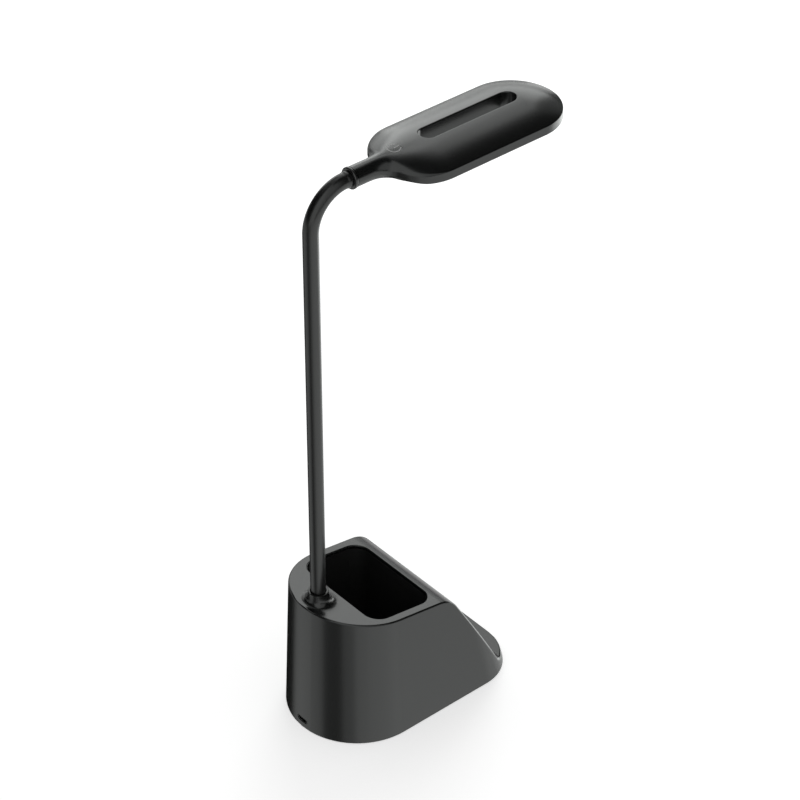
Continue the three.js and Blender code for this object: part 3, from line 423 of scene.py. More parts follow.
# %% Make the pen well's liner
def cup_form(outset, bottom):
    """A block as wide as the well and its outset, which ends under the housing's top."""
    under_top = well_ring(outset, lambda x: height_under(x, wall + fit))
    return lofted("pen_well", [well_ring(outset, level(bottom)), under_top])


pen_well = cup_form(cup_wall, cup_bottom)
flange = cup_form(cup_wall + cup_flange, cup_flange_bottom)
cut(flange, inner_form(wall + fit), "INTERSECT")
cut(flange, inner_form(wall + fit + cup_flange_thickness))
cut(pen_well, flange, "UNION")
cut(pen_well, well_space())
polished(pen_well)

# %% [markdown]
# ## The gooseneck
#
# Inside the sleeve is a chain of short steel links. Outside, a soft black tube hides them, so what is seen
# is one smooth tube that runs up, turns through a quarter circle and ends level. A tube that follows a path
# is what Geometry Nodes do well: the tree sweeps a circle along a line of points.
#
# The tube is cut into lengths, halfway between two joints each.
# The last length ends in a ball, on which the ring of the head turns.

# %% Path of the gooseneck
bend_start, bend_radius, past_bend = stem_foot + 264.51, 24.8, 0.9
bend_length = bend_radius * QUARTER
axis_height = bend_start + bend_radius
sleeve_radius, socket_radius = 4.7, 5
first_joint, joint_step = stem_foot + 18.91, 45
joint_runs = [first_joint + joint_step * k for k in range(6)]
joint_runs += [bend_start + bend_length / 2, bend_start + bend_length + past_bend]
ball_x = stem_x + bend_radius + past_bend
ring_back = ball_x + math.sqrt(socket_radius**2 - sleeve_radius**2)


def stem_point(run):
    """A point of the centre line, by its height on the straight part and its length from there on."""
    angle = min(max(0, run - bend_start), bend_length) / bend_radius
    ahead = max(0, run - bend_start - bend_length)
    x = stem_x + bend_radius * (1 - math.cos(angle)) + ahead
    return np.array([x, 0, min(run, bend_start) + bend_radius * math.sin(angle)])


print("joints at", [tuple(stem_point(run).round(1)) for run in joint_runs])

# %% A tree that sweeps a tube along a line
def socket(tree, name, kind, default=None, out=False):
    made = tree.interface.new_socket(name, in_out="OUTPUT" if out else "INPUT", socket_type=kind)
    if default is not None:
        made.default_value = default


def linked(source, target):
    source.id_data.links.new(source, target)


def swept_tree():
    tree = bpy.data.node_groups.new("Tube along a line", "GeometryNodeTree")
    socket(tree, "Geometry", "NodeSocketGeometry", out=True)
    for name, kind, default in (("Line", "Geometry", None), ("Radius", "Float", 0.0047),
                                ("Step", "Float", 0.0015), ("Sides", "Int", 56), ("Finish", "Material", None)):
        socket(tree, name, "NodeSocket" + kind, default)
    source, result = tree.nodes.new("NodeGroupInput"), tree.nodes.new("NodeGroupOutput")
    curve = tree.nodes.new("GeometryNodeMeshToCurve")
    even = tree.nodes.new("GeometryNodeResampleCurve")
    even.mode = "LENGTH"
    circle = tree.nodes.new("GeometryNodeCurvePrimitiveCircle")
    sweep = tree.nodes.new("GeometryNodeCurveToMesh")
    sweep.inputs["Fill Caps"].default_value = True
    real = tree.nodes.new("GeometryNodeRealizeInstances")
    paint = tree.nodes.new("GeometryNodeSetMaterial")
    for start, end in (
        (source.outputs["Line"], curve.inputs["Mesh"]),
        (curve.outputs["Curve"], even.inputs["Curve"]),
        (source.outputs["Step"], even.inputs["Length"]),
        (source.outputs["Sides"], circle.inputs["Resolution"]),
        (source.outputs["Radius"], circle.inputs["Radius"]),
        (even.outputs["Curve"], sweep.inputs["Curve"]),
        (circle.outputs["Curve"], sweep.inputs["Profile Curve"]),
        (sweep.outputs["Mesh"], real.inputs["Geometry"]),
        (real.outputs["Geometry"], paint.inputs["Geometry"]),
        (source.outputs["Finish"], paint.inputs["Material"]),
        (paint.outputs["Geometry"], result.inputs["Geometry"]),
    ):
        linked(start, end)
    return tree


def grown(piece, tree, **values):
    """Runs a tree on the piece with named inputs, and keeps the result as a plain mesh."""
    step = piece.modifiers.new(tree.name, "NODES")
    step.node_group = tree
    for item in tree.interface.items_tree:
        if item.item_type == "SOCKET" and item.in_out == "INPUT" and item.name in values:
            step[item.identifier] = values[item.name]
    return settled(piece)


tube_tree = swept_tree()

# %% Make the sleeve, one length for each joint
ball_radius, end_bore, point_gap = 4.95, 1.7, 0.8
tube_step, ball_step = 0.0015, 0.0005
ball_front = math.sqrt(ball_radius**2 - end_bore**2)
halfway = [(a + b) / 2 for a, b in zip(joint_runs, joint_runs[1:])]
meetings = [stem_foot - 5] + halfway + [joint_runs[-1] + ball_front]


def end_in_ball(piece):
    """Swells the level end of the gooseneck into the ball that the ring turns on."""
    centre = Vector(stem_point(joint_runs[-1]) * MM)
    meets = -math.sqrt(ball_radius**2 - sleeve_radius**2) * MM
    for vertex in piece.data.vertices:
        arm = vertex.co - centre
        if arm.x > meets:
            out = Vector((0, arm.y, arm.z)).normalized() * math.sqrt((ball_radius * MM) ** 2 - arm.x**2)
            vertex.co = centre + Vector((arm.x, 0, 0)) + out


def square_off(piece, run):
    """Sets the end ring at a run square to the path, so that two lengths meet with no wedge between them."""
    centre = Vector(stem_point(run) * MM)
    ahead = (Vector(stem_point(run + 0.01)) - Vector(stem_point(run - 0.01))).normalized()
    for vertex in piece.data.vertices:
        off = (vertex.co - centre).dot(ahead)
        if abs(off) < 0.3 * MM and (vertex.co - centre).length < 2 * sleeve_radius * MM:
            vertex.co -= off * ahead


sleeve_lengths = []
for number, (start, end) in enumerate(zip(meetings, meetings[1:]), 1):
    runs = np.unique(np.append(np.arange(start, end, point_gap), end))
    chain = [(k, k + 1) for k in range(len(runs) - 1)]
    length = mesh_piece(f"gooseneck_length_{number}", [stem_point(run) for run in runs], chain)
    last = end == meetings[-1]
    grown(length, tube_tree, Radius=sleeve_radius * MM, Step=ball_step if last else tube_step)
    if last:
        end_in_ball(length)
    if halfway[-1] in (start, end):
        square_off(length, halfway[-1])
    sleeve_lengths.append(polished(length))

# %% [markdown]
# ## The head
#
# The head is a loft too, but along its length: each ring is a cross-section. At the ring of the gooseneck
# the section is a circle. Further on it opens into a dome on a low upright band, with a crease between.
# From above, the sides swing from the round neck to a long loop with round ends. The section's points are
# matched one by one between circle and dome, so the neck flows into the head without a seam.

# %% Sections of the head
ring_front = ring_back + 2.2
neck_back = ring_front + fit
head_back, head_width = neck_back + 49.3, 58.8
head_front = head_back + 69.44
head_bottom = axis_height - 6.8
head_crease = head_bottom + 5.8
head_top = head_crease + 8.2
neck_radius, neck_fillet = 6.2, 14
head_radius = head_width / 2
slot_width, slot_back, slot_front = 11.3, head_back + 5.9, head_front - 4.4
head_wall = 1.8
dome_start, dome_end = neck_back + 8, neck_back + 36
neck_softness, crease_start, crease_end = 4, neck_back + 20, neck_back + 46


def smooth(x, low, high):
    share = np.clip((x - low) / (high - low), 0, 1)
    return share * share * (3 - 2 * share)


def head_half(x):
    """Half the head's width at x: neck, fillet, round end, straight sides, round tip."""
    fillet_y = neck_radius + neck_fillet
    fillet_x = head_back - math.sqrt((head_radius + neck_fillet) ** 2 - fillet_y**2)
    meet_x = head_back + (fillet_x - head_back) * head_radius / (head_radius + neck_fillet)
    past = np.maximum(np.maximum(head_back - x, x - head_front), 0)
    round_end = np.sqrt(np.maximum(0, head_radius**2 - past**2))
    fillet = fillet_y - np.sqrt(np.maximum(0, neck_fillet**2 - (x - fillet_x) ** 2))
    return np.where(x < fillet_x, neck_radius, np.where(x < meet_x, fillet, round_end))


def ridge(x):
    """Height of the head's middle line over x."""
    past = np.maximum(0, x - head_front) / head_radius
    start = axis_height + neck_radius
    return start + (head_top - start) * smooth(x, neck_back, slot_back) - (head_top - head_crease) * past**2


def opened(x):
    """How far the section has opened: 0 is the round neck, 1 is the dome on its band."""
    return smooth(x, dome_start, dome_end)


def dome(x, y):
    """Height of the head's top over a point of its plan."""
    share = np.minimum(1, np.abs(y) / np.maximum(head_half(x), 0.01))
    low_arch = head_crease + (ridge(x) - head_crease) * (1 - share**2)
    round_arch = axis_height + neck_radius * np.sqrt(1 - share**2)
    return round_arch + (low_arch - round_arch) * opened(x)


def head_section(x, inset, bottom, crease_edge, foot_edge):
    """One cross-section, as a ring that starts at the ridge and goes round by +Y."""
    half = max(float(head_half(x)) - inset, 0.05)
    top = float(ridge(x)) - inset
    crease = min(head_crease, top)
    boxy = float(opened(x))
    crease_edge += neck_softness * (1 - float(smooth(x, crease_start, crease_end)))
    crease_edge, foot_edge = min(crease_edge, half / 2), min(foot_edge, half / 2)
    slope = 2 * (top - crease) / half
    first = math.atan2(1, slope)
    edge_y = half - crease_edge * (1 - math.cos(first))
    centre_z = crease + crease_edge * (slope - math.hypot(1, slope))
    points = []  # (y, z) in the dome's section, and the same point's turn round the neck in degrees
    dome_turn, crease_turn, foot_turn, floor_turn = 80, 89, 91, 100
    for share, turn in zip(np.sin(spread(0, QUARTER, 26)) * edge_y / half, spread(0, dome_turn, 26)):
        points.append((share * half, crease + (top - crease) * (1 - share**2), turn))
    for share in spread(0, 1, 6)[1:]:
        a = first * (1 - share)
        y, z = half - crease_edge * (1 - math.cos(a)), centre_z + crease_edge * math.sin(a)
        points.append((y, z, dome_turn + (crease_turn - dome_turn) * share))
    for (inward, up), turn in zip(quarter_round(foot_edge, 6), spread(foot_turn, floor_turn, 6)):
        points.append((half - inward, bottom + up, turn))
    for share, turn in zip(np.cos(spread(0, QUARTER, 12))[1:], spread(floor_turn, 180, 12)[1:]):
        points.append(((half - foot_edge) * share, bottom, turn))
    points = np.array(points)
    box, circle = points[:, :2], np.radians(points[:, 2])
    radius = neck_radius - inset
    round_neck = np.stack([radius * np.sin(circle), axis_height + radius * np.cos(circle)], 1)
    round_neck[:, 0] *= half / radius if boxy > 0 else 1
    side = round_neck * (1 - boxy) + box * boxy
    side[0, 0] = side[-1, 0] = 0
    ring = np.concatenate([side, side[-2:0:-1] * (-1, 1)])
    return np.column_stack([np.full(len(ring), x), ring])


def head_form(name, start, inset, bottom, crease_edge=0.7, foot_edge=0.7):
    radius = head_radius - inset
    ends = spread(0, QUARTER, 64)
    places = np.concatenate([
        spread(start, head_back - radius * 0.98, 60), head_back - radius * np.cos(ends),
        spread(head_back, head_front, 40), head_front + radius * np.sin(ends),
    ])
    places = thinned(places[places >= start], 0.012)
    return lofted(name, [head_section(x, inset, bottom, crease_edge, foot_edge) for x in places])


# %% Slot and other cutters of the head
def stadium_ring(back, front, width, height_of, steps=24):
    radius = width / 2
    angles = np.concatenate([spread(QUARTER, 3 * QUARTER, steps), spread(-QUARTER, QUARTER, steps)])
    middles = np.repeat([back, front], steps + 1)
    x, y = middles + radius * np.cos(angles), radius * np.sin(angles)
    return np.stack([x, y, height_of(x, y)], 1)


def slot_ring(width, height_of):
    return stadium_ring(slot_back, slot_front, width, height_of)


def slot_space():
    """The slot's room, with a mouth that flares where it meets the dome."""
    rim = 0.7
    rings = [slot_ring(slot_width, level(head_bottom - overrun))]
    for outset, drop in quarter_round(rim, 6):
        rings.append(slot_ring(slot_width + 2 * outset, lambda x, y, d=drop: dome(x, y) - d))
    rings.append(slot_ring(slot_width + 2 * rim, lambda x, y: dome(x, y) + overrun))
    return lofted("slot_space", rings)


def axis_ring(x, radius, sides):
    """A ring of points round the gooseneck's level axis."""
    angles = spread(0, TURN, sides)[:-1]
    return np.stack([np.full(sides, x), radius * np.cos(angles), axis_height + radius * np.sin(angles)], 1)


# %% Make the head shell
seat_front = neck_back + 23.3
seat_plan = [(seat_front + x, y) for x, y in ((-9, -7), (0, -7), (0, 7), (-9, 7))]
light_board, core_bottom, core_top = head_bottom + 4.8, head_bottom - overrun, head_top + overrun
light_boss, light_hole, neck_bore = 4.6, 2.4, 7.4
tube = slot_width + 3.2
diagonal = 12.4 * math.sqrt(0.5)
light_places = [(x, y) for x in (slot_back - diagonal, slot_front + diagonal) for y in (diagonal, -diagonal)]

head_core = head_form("head_core", head_back - head_radius + head_wall, head_wall, core_bottom, 0.3, 0.3)
cut(head_core, lofted("seat", [[(x, y, z) for x, y in seat_plan] for z in (head_bottom + 2.1, head_top)]))
cut(head_core, lofted("tube", [slot_ring(tube, level(height)) for height in (core_bottom - overrun, core_top)]))
for x, y in light_places:
    cut(head_core, column("light_boss", light_boss, light_board + 1.3, core_top, x, y))

head_cover = head_form("head_cover", neck_back, 0, head_bottom)
cut(head_cover, head_core)
cut(head_cover, slot_space())
for x, y in light_places:
    cut(head_cover, column("light_hole", light_hole, light_board + 0.5, light_board + 4.5, x, y))
bore_ends = (neck_back - overrun, seat_front + overrun)
cut(head_cover, lofted("bore", [axis_ring(x, neck_bore / 2, 64) for x in bore_ends]))
polished(head_cover)

# %% [markdown]
# ## The diffuser, the ring and the touch symbol
#
# The diffuser closes the head from below: a thin loop of milky plastic that spreads the light of the chips.
# The dark ring between gooseneck and head is turned on a lathe, so its mesh is a profile that goes round an
# axis. The power symbol is a fine raised line on the dome. A ring with a stroke is a generic sign that many
# devices share. Rays that fall on the finished dome say how high it is, so the line lies on it everywhere.

# %% Make the diffuser
lens_width, lens_hole = head_width - 2 * (head_wall + fit), tube + 2 * fit
lens_low, lens_high, rounding = head_bottom + 0.2, head_bottom + 1.8, 0.3

outline, holes = [], []
for height, shrink in ((lens_low, rounding), (lens_low + rounding, 0), (lens_high, 0)):
    outline.append(stadium_ring(head_back, head_front, lens_width - 2 * shrink, level(height), 48))
    holes.append(stadium_ring(slot_back, slot_front, lens_hole + 2 * shrink, level(height), 48))
head_lens = polished(lofted("head_lens", outline + holes[::-1], "joined"))

# %% Make the ring that carries the head
ring_radius, bead, shank, groove = 6.6, 0.75, 3.4, 2.9
clip_start, clip_end, shank_end = seat_front + 0.3, seat_front + 1.4, seat_front + 2.2
bead_steps = quarter_round(bead, 8)
profile = [(ring_back, sleeve_radius + 0.02)]
profile += [(ring_back + inward, ring_radius - drop) for inward, drop in bead_steps]
profile += [(ring_front - inward, ring_radius - drop) for inward, drop in reversed(bead_steps)]
profile += [(ring_front, shank), (clip_start, shank), (clip_start, groove), (clip_end, groove)]
profile += [(clip_end, shank), (shank_end, shank), (shank_end, end_bore)]
rim_turn = math.acos((ring_back - ball_x) / socket_radius) - 0.01
for a in spread(math.asin(end_bore / socket_radius), rim_turn, 8):
    profile.append((ball_x + socket_radius * math.cos(a), socket_radius * math.sin(a)))
neck_ring = polished(lofted("neck_ring", [axis_ring(x, radius, 96) for x, radius in profile], "joined"))

# %% Make the touch symbol
def surface_under(piece):
    """A function that gives a piece's height over points of its plan."""
    mesh = piece.data
    mesh.calc_loop_triangles()
    tree = BVHTree.FromPolygons([v.co for v in mesh.vertices], [t.vertices for t in mesh.loop_triangles])

    def height(x, y):
        hits = [tree.ray_cast((a * MM, b * MM, 1.0), (0, 0, -1))[0] for a, b in zip(x, y)]
        return np.array([hit.z / MM for hit in hits])
    return height


def printed_line(name, x, y, width, height_of):
    """A thin raised line along (x, y) that follows the surface over its whole width."""
    along = np.stack([np.gradient(x), np.gradient(y)])
    across = np.stack([-along[1], along[0]]) / np.hypot(*along) * width / 2
    edges = []
    sunk, raised = -0.06, 0.04
    for side, lift in ((1, sunk), (1, raised), (-1, raised), (-1, sunk)):
        a, b = x + side * across[0], y + side * across[1]
        edges.append(np.stack([a, b, height_of(a, b) + lift], 1))
    return polished(lofted(name, list(np.stack(edges, 1))))


touch_x, symbol_radius, symbol_width = neck_back + 30.3, 3.75, 0.85
over_head = surface_under(head_cover)
arc_gap = math.radians(34)
angles = spread(arc_gap, TURN - arc_gap, 72)
arc_x, arc_y = touch_x + symbol_radius * np.cos(angles), symbol_radius * np.sin(angles)
symbol_arc = printed_line("touch_symbol_arc", arc_x, arc_y, symbol_width, over_head)
stroke_x = spread(touch_x - 0.6, touch_x + 4.3, 12)
symbol_stroke = printed_line("touch_symbol_stroke", stroke_x, 0 * stroke_x, symbol_width, over_head)
print("symbol lies", round(over_head([touch_x], [0])[0] - axis_height, 2), "mm over the neck's axis")

# %% [markdown]
# ## Shared effects for the finishes
#
# Moulded plastic is never one flat colour. Its mould is spark-eroded, which leaves a grain too fine to see
# one by one but coarse enough to soften reflections. Hands leave faint marks where the shine changes, and
# a little dust settles on what faces up. Each effect is a node group with named inputs, so every finish
# can take its own amount of it.

# %% Node group helpers
def new_group(name, inputs, output):
    """A shader node group with its input and output nodes. Inputs are (name, kind, default)."""
    group = bpy.data.node_groups.new(name, "ShaderNodeTree")
    for label, kind, default in inputs:
        socket(group, label, kind, default)
    socket(group, *output, out=True)
    return group, group.nodes.new("NodeGroupInput"), group.nodes.new("NodeGroupOutput")


def feed(target, value):
    """Sets an input to a value, or links it to another node's output."""
    if isinstance(value, bpy.types.NodeSocket):
        linked(value, target)
    else:
        target.default_value = value


def joined(tree, kind, *values):
    """A node of a kind whose first inputs get the values. Gives its first output."""
    node = tree.nodes.new(kind)
    for target, value in zip(node.inputs, values):
        feed(target, value)
    return node.outputs[0]


def maths(tree, operation, first, second):
    result = joined(tree, "ShaderNodeMath", first, second)
    result.node.operation = operation
    return result


def mixed_colour(tree, factor, first, second):
    node = tree.nodes.new("ShaderNodeMix")
    node.data_type = "RGBA"
    for place, value in ((0, factor), (6, first), (7, second)):
        feed(node.inputs[place], value)
    return node.outputs[2]


def noise_node(tree, vector, scale, detail, roughness):
    node = tree.nodes.new("ShaderNodeTexNoise")
    for label, value in (("Detail", detail), ("Roughness", roughness), ("Vector", vector), ("Scale", scale)):
        feed(node.inputs[label], value)
    return node.outputs["Fac"]


def object_vector(tree):
    return tree.nodes.new("ShaderNodeTexCoord").outputs["Object"]


FLOAT, COLOUR = "NodeSocketFloat", "NodeSocketColor"

# %% Mould grain
grain_group, source, result = new_group(
    "Mould grain", [("Grain per metre", FLOAT, 2600.0), ("Pit share", FLOAT, 0.35)], ("Height", FLOAT))
tree, vector, per_metre = grain_group, object_vector(grain_group), source.outputs["Grain per metre"]
fine = noise_node(tree, vector, per_metre, 4.0, 0.6)
pits = tree.nodes.new("ShaderNodeTexVoronoi")
linked(vector, pits.inputs["Vector"])
linked(maths(tree, "MULTIPLY", per_metre, 0.6), pits.inputs["Scale"])
pit = maths(tree, "MULTIPLY", pits.outputs["Distance"], source.outputs["Pit share"])
linked(maths(tree, "ADD", fine, pit), result.inputs["Height"])

# %% Handling marks
marks_group, source, result = new_group("Handling marks", [
    ("Roughness", FLOAT, 0.4), ("Change", FLOAT, 0.06), ("Marks per metre", FLOAT, 22.0),
], ("Roughness", FLOAT))
tree, vector, per_metre = marks_group, object_vector(marks_group), source.outputs["Marks per metre"]
broad = noise_node(tree, vector, per_metre, 2.0, 0.55)
smear = noise_node(tree, vector, maths(tree, "MULTIPLY", per_metre, 9.0), 4.0, 0.7)
both = maths(tree, "ADD", maths(tree, "MULTIPLY", broad, 0.7), maths(tree, "MULTIPLY", smear, 0.3))
twice = maths(tree, "MULTIPLY", source.outputs["Change"], 2.0)
change = maths(tree, "MULTIPLY", maths(tree, "SUBTRACT", both, 0.5), twice)
linked(maths(tree, "ADD", source.outputs["Roughness"], change), result.inputs["Roughness"])

# %% Tone and dust
tone_group, source, result = new_group("Tone and dust", [
    ("Dark tone", COLOUR, (0.01, 0.01, 0.01, 1)), ("Light tone", COLOUR, (0.014, 0.014, 0.014, 1)),
    ("Dust tone", COLOUR, (0.2, 0.19, 0.17, 1)), ("Dust", FLOAT, 0.02), ("Clouds per metre", FLOAT, 35.0),
], ("Colour", COLOUR))
tree, vector = tone_group, object_vector(tone_group)
clouds = noise_node(tree, vector, source.outputs["Clouds per metre"], 3.0, 0.5)
tone = mixed_colour(tree, clouds, source.outputs["Dark tone"], source.outputs["Light tone"])
split = tree.nodes.new("ShaderNodeSeparateXYZ")
linked(tree.nodes.new("ShaderNodeNewGeometry").outputs["Normal"], split.inputs["Vector"])
upward = maths(tree, "POWER", maths(tree, "MAXIMUM", split.outputs["Z"], 0.0), 3.0)
specks = maths(tree, "GREATER_THAN", noise_node(tree, vector, 900.0, 2.0, 0.5), 0.62)
dust = maths(tree, "MULTIPLY", maths(tree, "MULTIPLY", upward, specks), source.outputs["Dust"])
linked(mixed_colour(tree, dust, tone, source.outputs["Dust tone"]), result.inputs["Colour"])

# %% [markdown]
# ## The finishes
#
# One helper wires the three groups into a Principled shader. What is the same all over a surface, such as
# metallic or the index of refraction, is set on the shader itself. The grain feeds a Bump node, with a
# height of a few micrometres on the mouldings and more on rubber and cast iron.

# %% Build a finish
def grey(value):
    return (value, value, value, 1.0)


def set_inputs(node, values):
    for label, value in values.items():
        node.inputs[label].default_value = value


def grouped(tree, group, values):
    """Puts a node group in a material with some of its inputs set, and gives its output."""
    node = tree.nodes.new("ShaderNodeGroup")
    node.node_tree = group
    set_inputs(node, values)
    return node.outputs[0]


def new_material(name):
    material = bpy.data.materials.new(name)
    material.use_nodes = True
    return material, material.node_tree


def finish(name, dark, light, roughness, change, metallic=0.0, grain=2600.0, bump=0.004, dust=0.0, clouds=35.0,
           coat=0.0):
    """A procedural finish. Bump is the grain's height in millimetres."""
    material, tree = new_material(name)
    shader = tree.nodes["Principled BSDF"]
    set_inputs(shader, {"Metallic": metallic, "IOR": 1.5, "Coat Weight": coat})
    tone = {"Dark tone": dark, "Light tone": light, "Dust": dust, "Clouds per metre": clouds}
    linked(grouped(tree, tone_group, tone), shader.inputs["Base Color"])
    shine = {"Roughness": roughness, "Change": change}
    linked(grouped(tree, marks_group, shine), shader.inputs["Roughness"])
    bumps = tree.nodes.new("ShaderNodeBump")
    set_inputs(bumps, {"Distance": bump * MM, "Strength": 1.0})
    linked(grouped(tree, grain_group, {"Grain per metre": grain}), bumps.inputs["Height"])
    linked(bumps.outputs["Normal"], shader.inputs["Normal"])
    return material


# Each pair is the dark and the light tone of one finish.
moulding = (0.0050, 0.0054, 0.0052, 1), (0.0065, 0.0070, 0.0068, 1)
sleeve = (0.0050, 0.0052, 0.0052, 1), (0.0065, 0.0068, 0.0068, 1)
wrap = (0.02, 0.09, 0.25, 1), (0.03, 0.12, 0.32, 1)
green = (0.008, 0.075, 0.03, 1), (0.012, 0.11, 0.045, 1)
milk = (0.78, 0.77, 0.73, 1), (0.84, 0.83, 0.8, 1)
copper = (0.72, 0.36, 0.2, 1), (0.84, 0.47, 0.28, 1)

finishes = {
    "satin_black": finish("Satin black moulding", *moulding, 0.24, 0.03, dust=0.008),
    "well_black": finish("Matt black liner", grey(0.0035), grey(0.005), 0.6, 0.05, bump=0.008),
    "cover_black": finish("Black cover", grey(0.009), grey(0.013), 0.5, 0.06, bump=0.01),
    "pad_rubber": finish("Soft pad", grey(0.012), grey(0.02), 0.85, 0.05, grain=900.0, bump=0.05),
    "ballast_iron": finish("Cast iron", grey(0.09), grey(0.2), 0.55, 0.12, 1.0, 700.0, 0.06, clouds=90.0),
    "screw_steel": finish("Screw steel", grey(0.42), grey(0.55), 0.3, 0.08, 1.0, 3500.0, 0.003),
    "cell_wrap": finish("Cell wrap", *wrap, 0.32, 0.06, coat=0.3),
    "board_green": finish("Circuit board", *green, 0.4, 0.05, bump=0.006, coat=0.4),
    "socket_steel": finish("Socket steel", grey(0.05), grey(0.08), 0.4, 0.08, 1.0, 3000.0, 0.002),
    "lead_jacket": finish("Lead jacket", grey(0.008), grey(0.012), 0.45, 0.05),
    "sleeve_black": finish("Gooseneck sleeve", *sleeve, 0.3, 0.03, grain=3200.0, bump=0.003),
    "core_steel": finish("Link steel", grey(0.35), grey(0.5), 0.35, 0.1, 1.0, 2400.0),
    "black_steel": finish("Blackened steel", grey(0.006), grey(0.01), 0.3, 0.05, bump=0.003, coat=0.2),
    "milky_white": finish("Milky diffuser", *milk, 0.42, 0.05, grain=1400.0, bump=0.02),
    "board_white": finish("Light board", grey(0.7), grey(0.8), 0.45, 0.05, coat=0.2),
    "copper": finish("Copper", *copper, 0.3, 0.1, 1.0, bump=0.003),
    "symbol_grey": finish("Printed symbol", grey(0.24), grey(0.3), 0.5, 0.05, bump=0.003),
}
milky = finishes["milky_white"].node_tree.nodes["Principled BSDF"]
set_inputs(milky, {"Subsurface Weight": 0.35, "Subsurface Radius": (0.004, 0.004, 0.0035)})
print("finishes:", len(finishes))

# %% Give each CAD node its finish
slots = {part["node"]: part["material_slot"] for part in frame["record"]["subparts"]}
for name, node in frame["nodes"].items():
    if len(node.material_slots) == 0:
        node.data.materials.append(None)
    for place in node.material_slots:
        place.material = finishes[slots[name]]


def dressed(piece, slot_name, material=None):
    """Gives a new piece the finish of its slot, or the given material instead."""
    piece.data.materials.clear()
    piece.data.materials.append(finishes[material or slot_name])
    return piece


# %% [markdown]
# ## Fasten the pieces to the frame
#
# Most new pieces replace the CAD node whose shape they refine. The pieces of the base and the head, the touch
# symbol and the last length of the sleeve move with their body; the other lengths stay where they are built.

# %% Ride and replace
for piece, body, node, slot_name in (
    (base_shell, "base", "base_housing", "satin_black"),
    (pen_well, "base", "pen_cup", "well_black"),
    (head_cover, "head", "head_shell", "satin_black"),
    (head_lens, "head", "head_diffuser", "milky_white"),
    (neck_ring, "head", "neck_ferrule", "black_steel"),
):
    dressed(piece, slot_name)
    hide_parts(node)
    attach(piece, body)
for piece in (symbol_arc, symbol_stroke):
    dressed(piece, "satin_black", "symbol_grey")
    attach(piece, "head")

long_bend, short_bend = 18, 8  # how far to each side of a joint the two end points are taken, in millimetres
links = ["base"] + [f"neck_link_{k}" for k in range(2, 9)]
for number, length in enumerate(sleeve_lengths):
    dressed(length, "sleeve_black")
    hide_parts(f"gooseneck_sleeve_{number + 1}")
    if number < 7:
        reach = long_bend if number < 6 else short_bend
        start, end = (stem_point(joint_runs[number] + side) * MM for side in (-reach, reach))
        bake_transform(length)
    else:
        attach(length, links[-1])

# %% [markdown]
# ## Floor, light and camera
#
# The background is plain white. The world gives it to the camera, and to reflections, and lights the rest
# more softly. The floor is pale and keeps the lamp's shadow. A glossy black object shows mostly what
# surrounds it, so a studio sets out soft lamps, and cards that are out of the picture. The dark cards draw
# the bands along the round walls, and the bright ones lift the side and the rims. Only reflections see them.

# %% World and floor
def seen_directly(tree):
    """1 for the rays of the camera and of reflections and glass, 0 for the rays that light a surface."""
    rays = tree.nodes.new("ShaderNodeLightPath").outputs
    mirrored = maths(tree, "MAXIMUM", rays["Is Glossy Ray"], rays["Is Transmission Ray"])
    return maths(tree, "MAXIMUM", rays["Is Camera Ray"], mirrored)


scene = bpy.context.scene
scene.view_settings.view_transform = "Standard"
scene.world = bpy.data.worlds.new("Studio")
scene.world.use_nodes = True
tree = scene.world.node_tree
background = tree.nodes["Background"].inputs
fill_light = 0.5  # the world's strength for the rays that light a surface, and 1 for those that see it
added = maths(tree, "MULTIPLY", seen_directly(tree), 1 - fill_light)
linked(maths(tree, "ADD", added, fill_light), background["Strength"])
background["Color"].default_value = grey(1)

floor_size, floor_drop, floor_shade, floor_glow = 8, 0.0002, 0.8, 0.55
bpy.ops.mesh.primitive_plane_add(size=floor_size, location=(0, 0, -floor_drop))
floor = bpy.context.object
floor.name = "studio_floor"
floor_finish, tree = new_material("Pale floor")
tree.nodes.remove(tree.nodes["Principled BSDF"])
matt = joined(tree, "ShaderNodeBsdfDiffuse", grey(floor_shade))
glow = joined(tree, "ShaderNodeEmission", grey(1), maths(tree, "MULTIPLY", seen_directly(tree), floor_glow))
pale = joined(tree, "ShaderNodeAddShader", matt, glow)
# From below the floor is clear, so the lamp's underside can be seen.
backface = tree.nodes.new("ShaderNodeNewGeometry").outputs["Backfacing"]
surface = joined(tree, "ShaderNodeMixShader", backface, pale, joined(tree, "ShaderNodeBsdfTransparent"))
linked(surface, tree.nodes["Material Output"].inputs["Surface"])
floor.data.materials.append(floor_finish)
floor.visible_glossy = False

# %% Soft lamps and cards
aim = Vector((0.0, 0.0, 0.2))
studio_tint = (0.975, 1.0, 0.985, 1)


def direction(azimuth, elevation):
    a, e = math.radians(azimuth), math.radians(elevation)
    return Vector((math.cos(e) * math.cos(a), math.cos(e) * math.sin(a), math.sin(e)))


def soft_lamp(name, azimuth, elevation, distance, width, height, brightness):
    """An area light that faces the lamp's middle. Brightness 1 looks white in a mirror."""
    light = bpy.data.lights.new(name, "AREA")
    light.shape = "RECTANGLE"
    light.size, light.size_y = width, height
    light.energy = brightness * math.pi * width * height
    light.color = studio_tint[:3]
    lamp, toward = in_scene(name, light), direction(azimuth, elevation)
    lamp.location = aim + toward * distance
    lamp.rotation_euler = toward.to_track_quat("Z", "Y").to_euler()


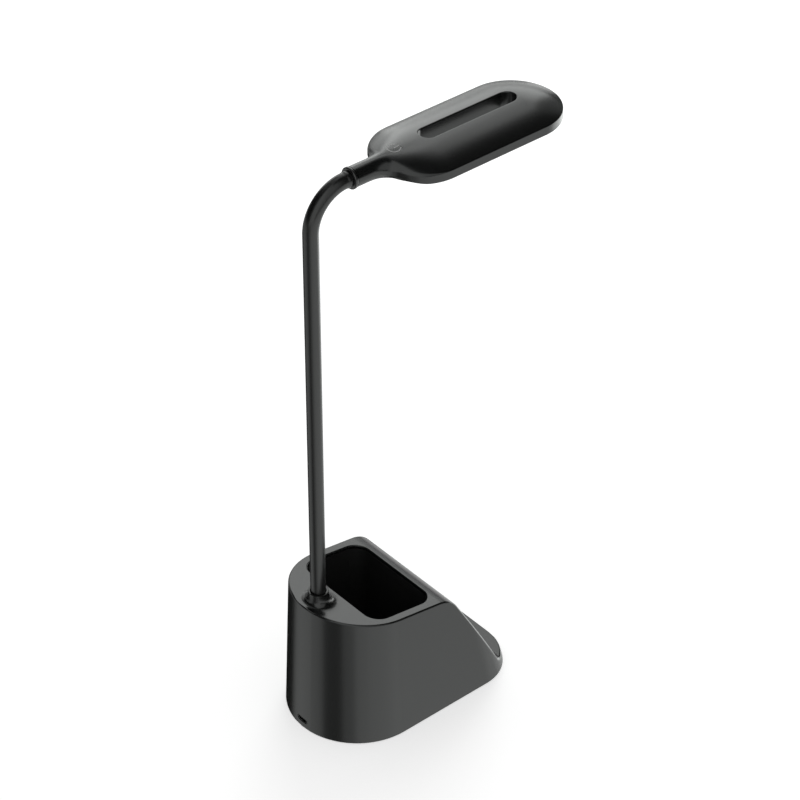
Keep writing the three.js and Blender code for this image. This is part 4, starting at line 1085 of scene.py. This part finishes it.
def studio_card(name, azimuths, elevations, glow, distance=2.0):
    """A curved card that covers a range of directions, glows evenly, and is seen by reflections only."""
    material, tree = new_material(name)
    set_inputs(tree.nodes["Principled BSDF"], {
        "Base Color": grey(0.003), "Roughness": 1.0, "Emission Color": studio_tint, "Emission Strength": glow})
    material.cycles.emission_sampling = "NONE"
    columns, rows = 24, 12
    points = []
    for elevation in spread(*elevations, rows):
        points += [aim + direction(azimuth, elevation) * distance for azimuth in spread(*azimuths, columns)]
    faces = []
    for row in range(rows):
        for column_number in range(columns):
            first = row * (columns + 1) + column_number
            faces.append((first, first + 1, first + columns + 2, first + columns + 1))
    card = mesh_piece(name, points, faces=faces, unit=1)
    card.data.materials.append(material)
    card.visible_camera = card.visible_diffuse = card.visible_transmission = card.visible_shadow = False


soft_lamp("key_lamp", 43, 30, 1.2, 0.66, 0.62, 2.4)
soft_lamp("key_lamp_upper", 32, 52, 1.2, 0.42, 0.3, 1.6)
soft_lamp("key_lamp_lower", 46, 7, 1.2, 0.6, 0.3, 1.1)
NEAR = 1.9  # these cards stand in front of the others
for card in (
    ("ceiling_card", (0, 360), (-2, 90), 0.0),
    ("overhead_card", (188, 242), (-2, 89), 1.3, NEAR),
    ("overhead_card_far", (34, 75), (45, 89), 0.9, NEAR),
    ("overhead_card_left", (75, 135), (45, 85), 0.4, NEAR),
    ("grey_card_left", (56, 88), (2, 34), 1.3, NEAR),
    ("grey_card_right", (8, 28), (14, 64), 0.3, NEAR),
    ("overhead_card_near", (242, 288), (8, 70), 0.9, NEAR),
    ("grey_card_far", (42, 100), (-24, -2), 0.35),
    ("black_card_far", (42, 108), (-90, -24), 0.0),
    ("dim_card_far", (108, 124), (-90, -2), 0.45),
    ("dim_card_back", (124, 174), (-90, -2), 0.8),
    ("dark_card_back", (174, 206), (-90, -2), 0.2),
    ("dim_card_near", (206, 226), (-90, -2), 0.72),
    ("white_card_near", (226, 246), (-90, -2), 1.28),
    ("white_card_side", (246, 300), (-90, -2), 1.42),
    ("white_card_front", (300, 336), (-90, -2), 1.15),
    ("grey_card_tip", (336, 386), (-90, -34), 0.8),
    ("white_card_tip", (334, 386), (-34, -2), 2.6, NEAR),
):
    studio_card(*card)

# %% Camera
camera_data = bpy.data.cameras.new("camera")
camera = in_scene("camera", camera_data)
sensor, focal_pixels, picture_width = 36, 2979, 800
camera_data.sensor_width = sensor
camera_data.lens = sensor * focal_pixels / picture_width
camera_data.clip_start, camera_data.clip_end = 0.05, 20
camera.location = Vector((-908.82, -1073.26, 1260.15)) * MM
camera.rotation_euler = (math.radians(53.43), 0, math.radians(-40.5))
scene.camera = camera
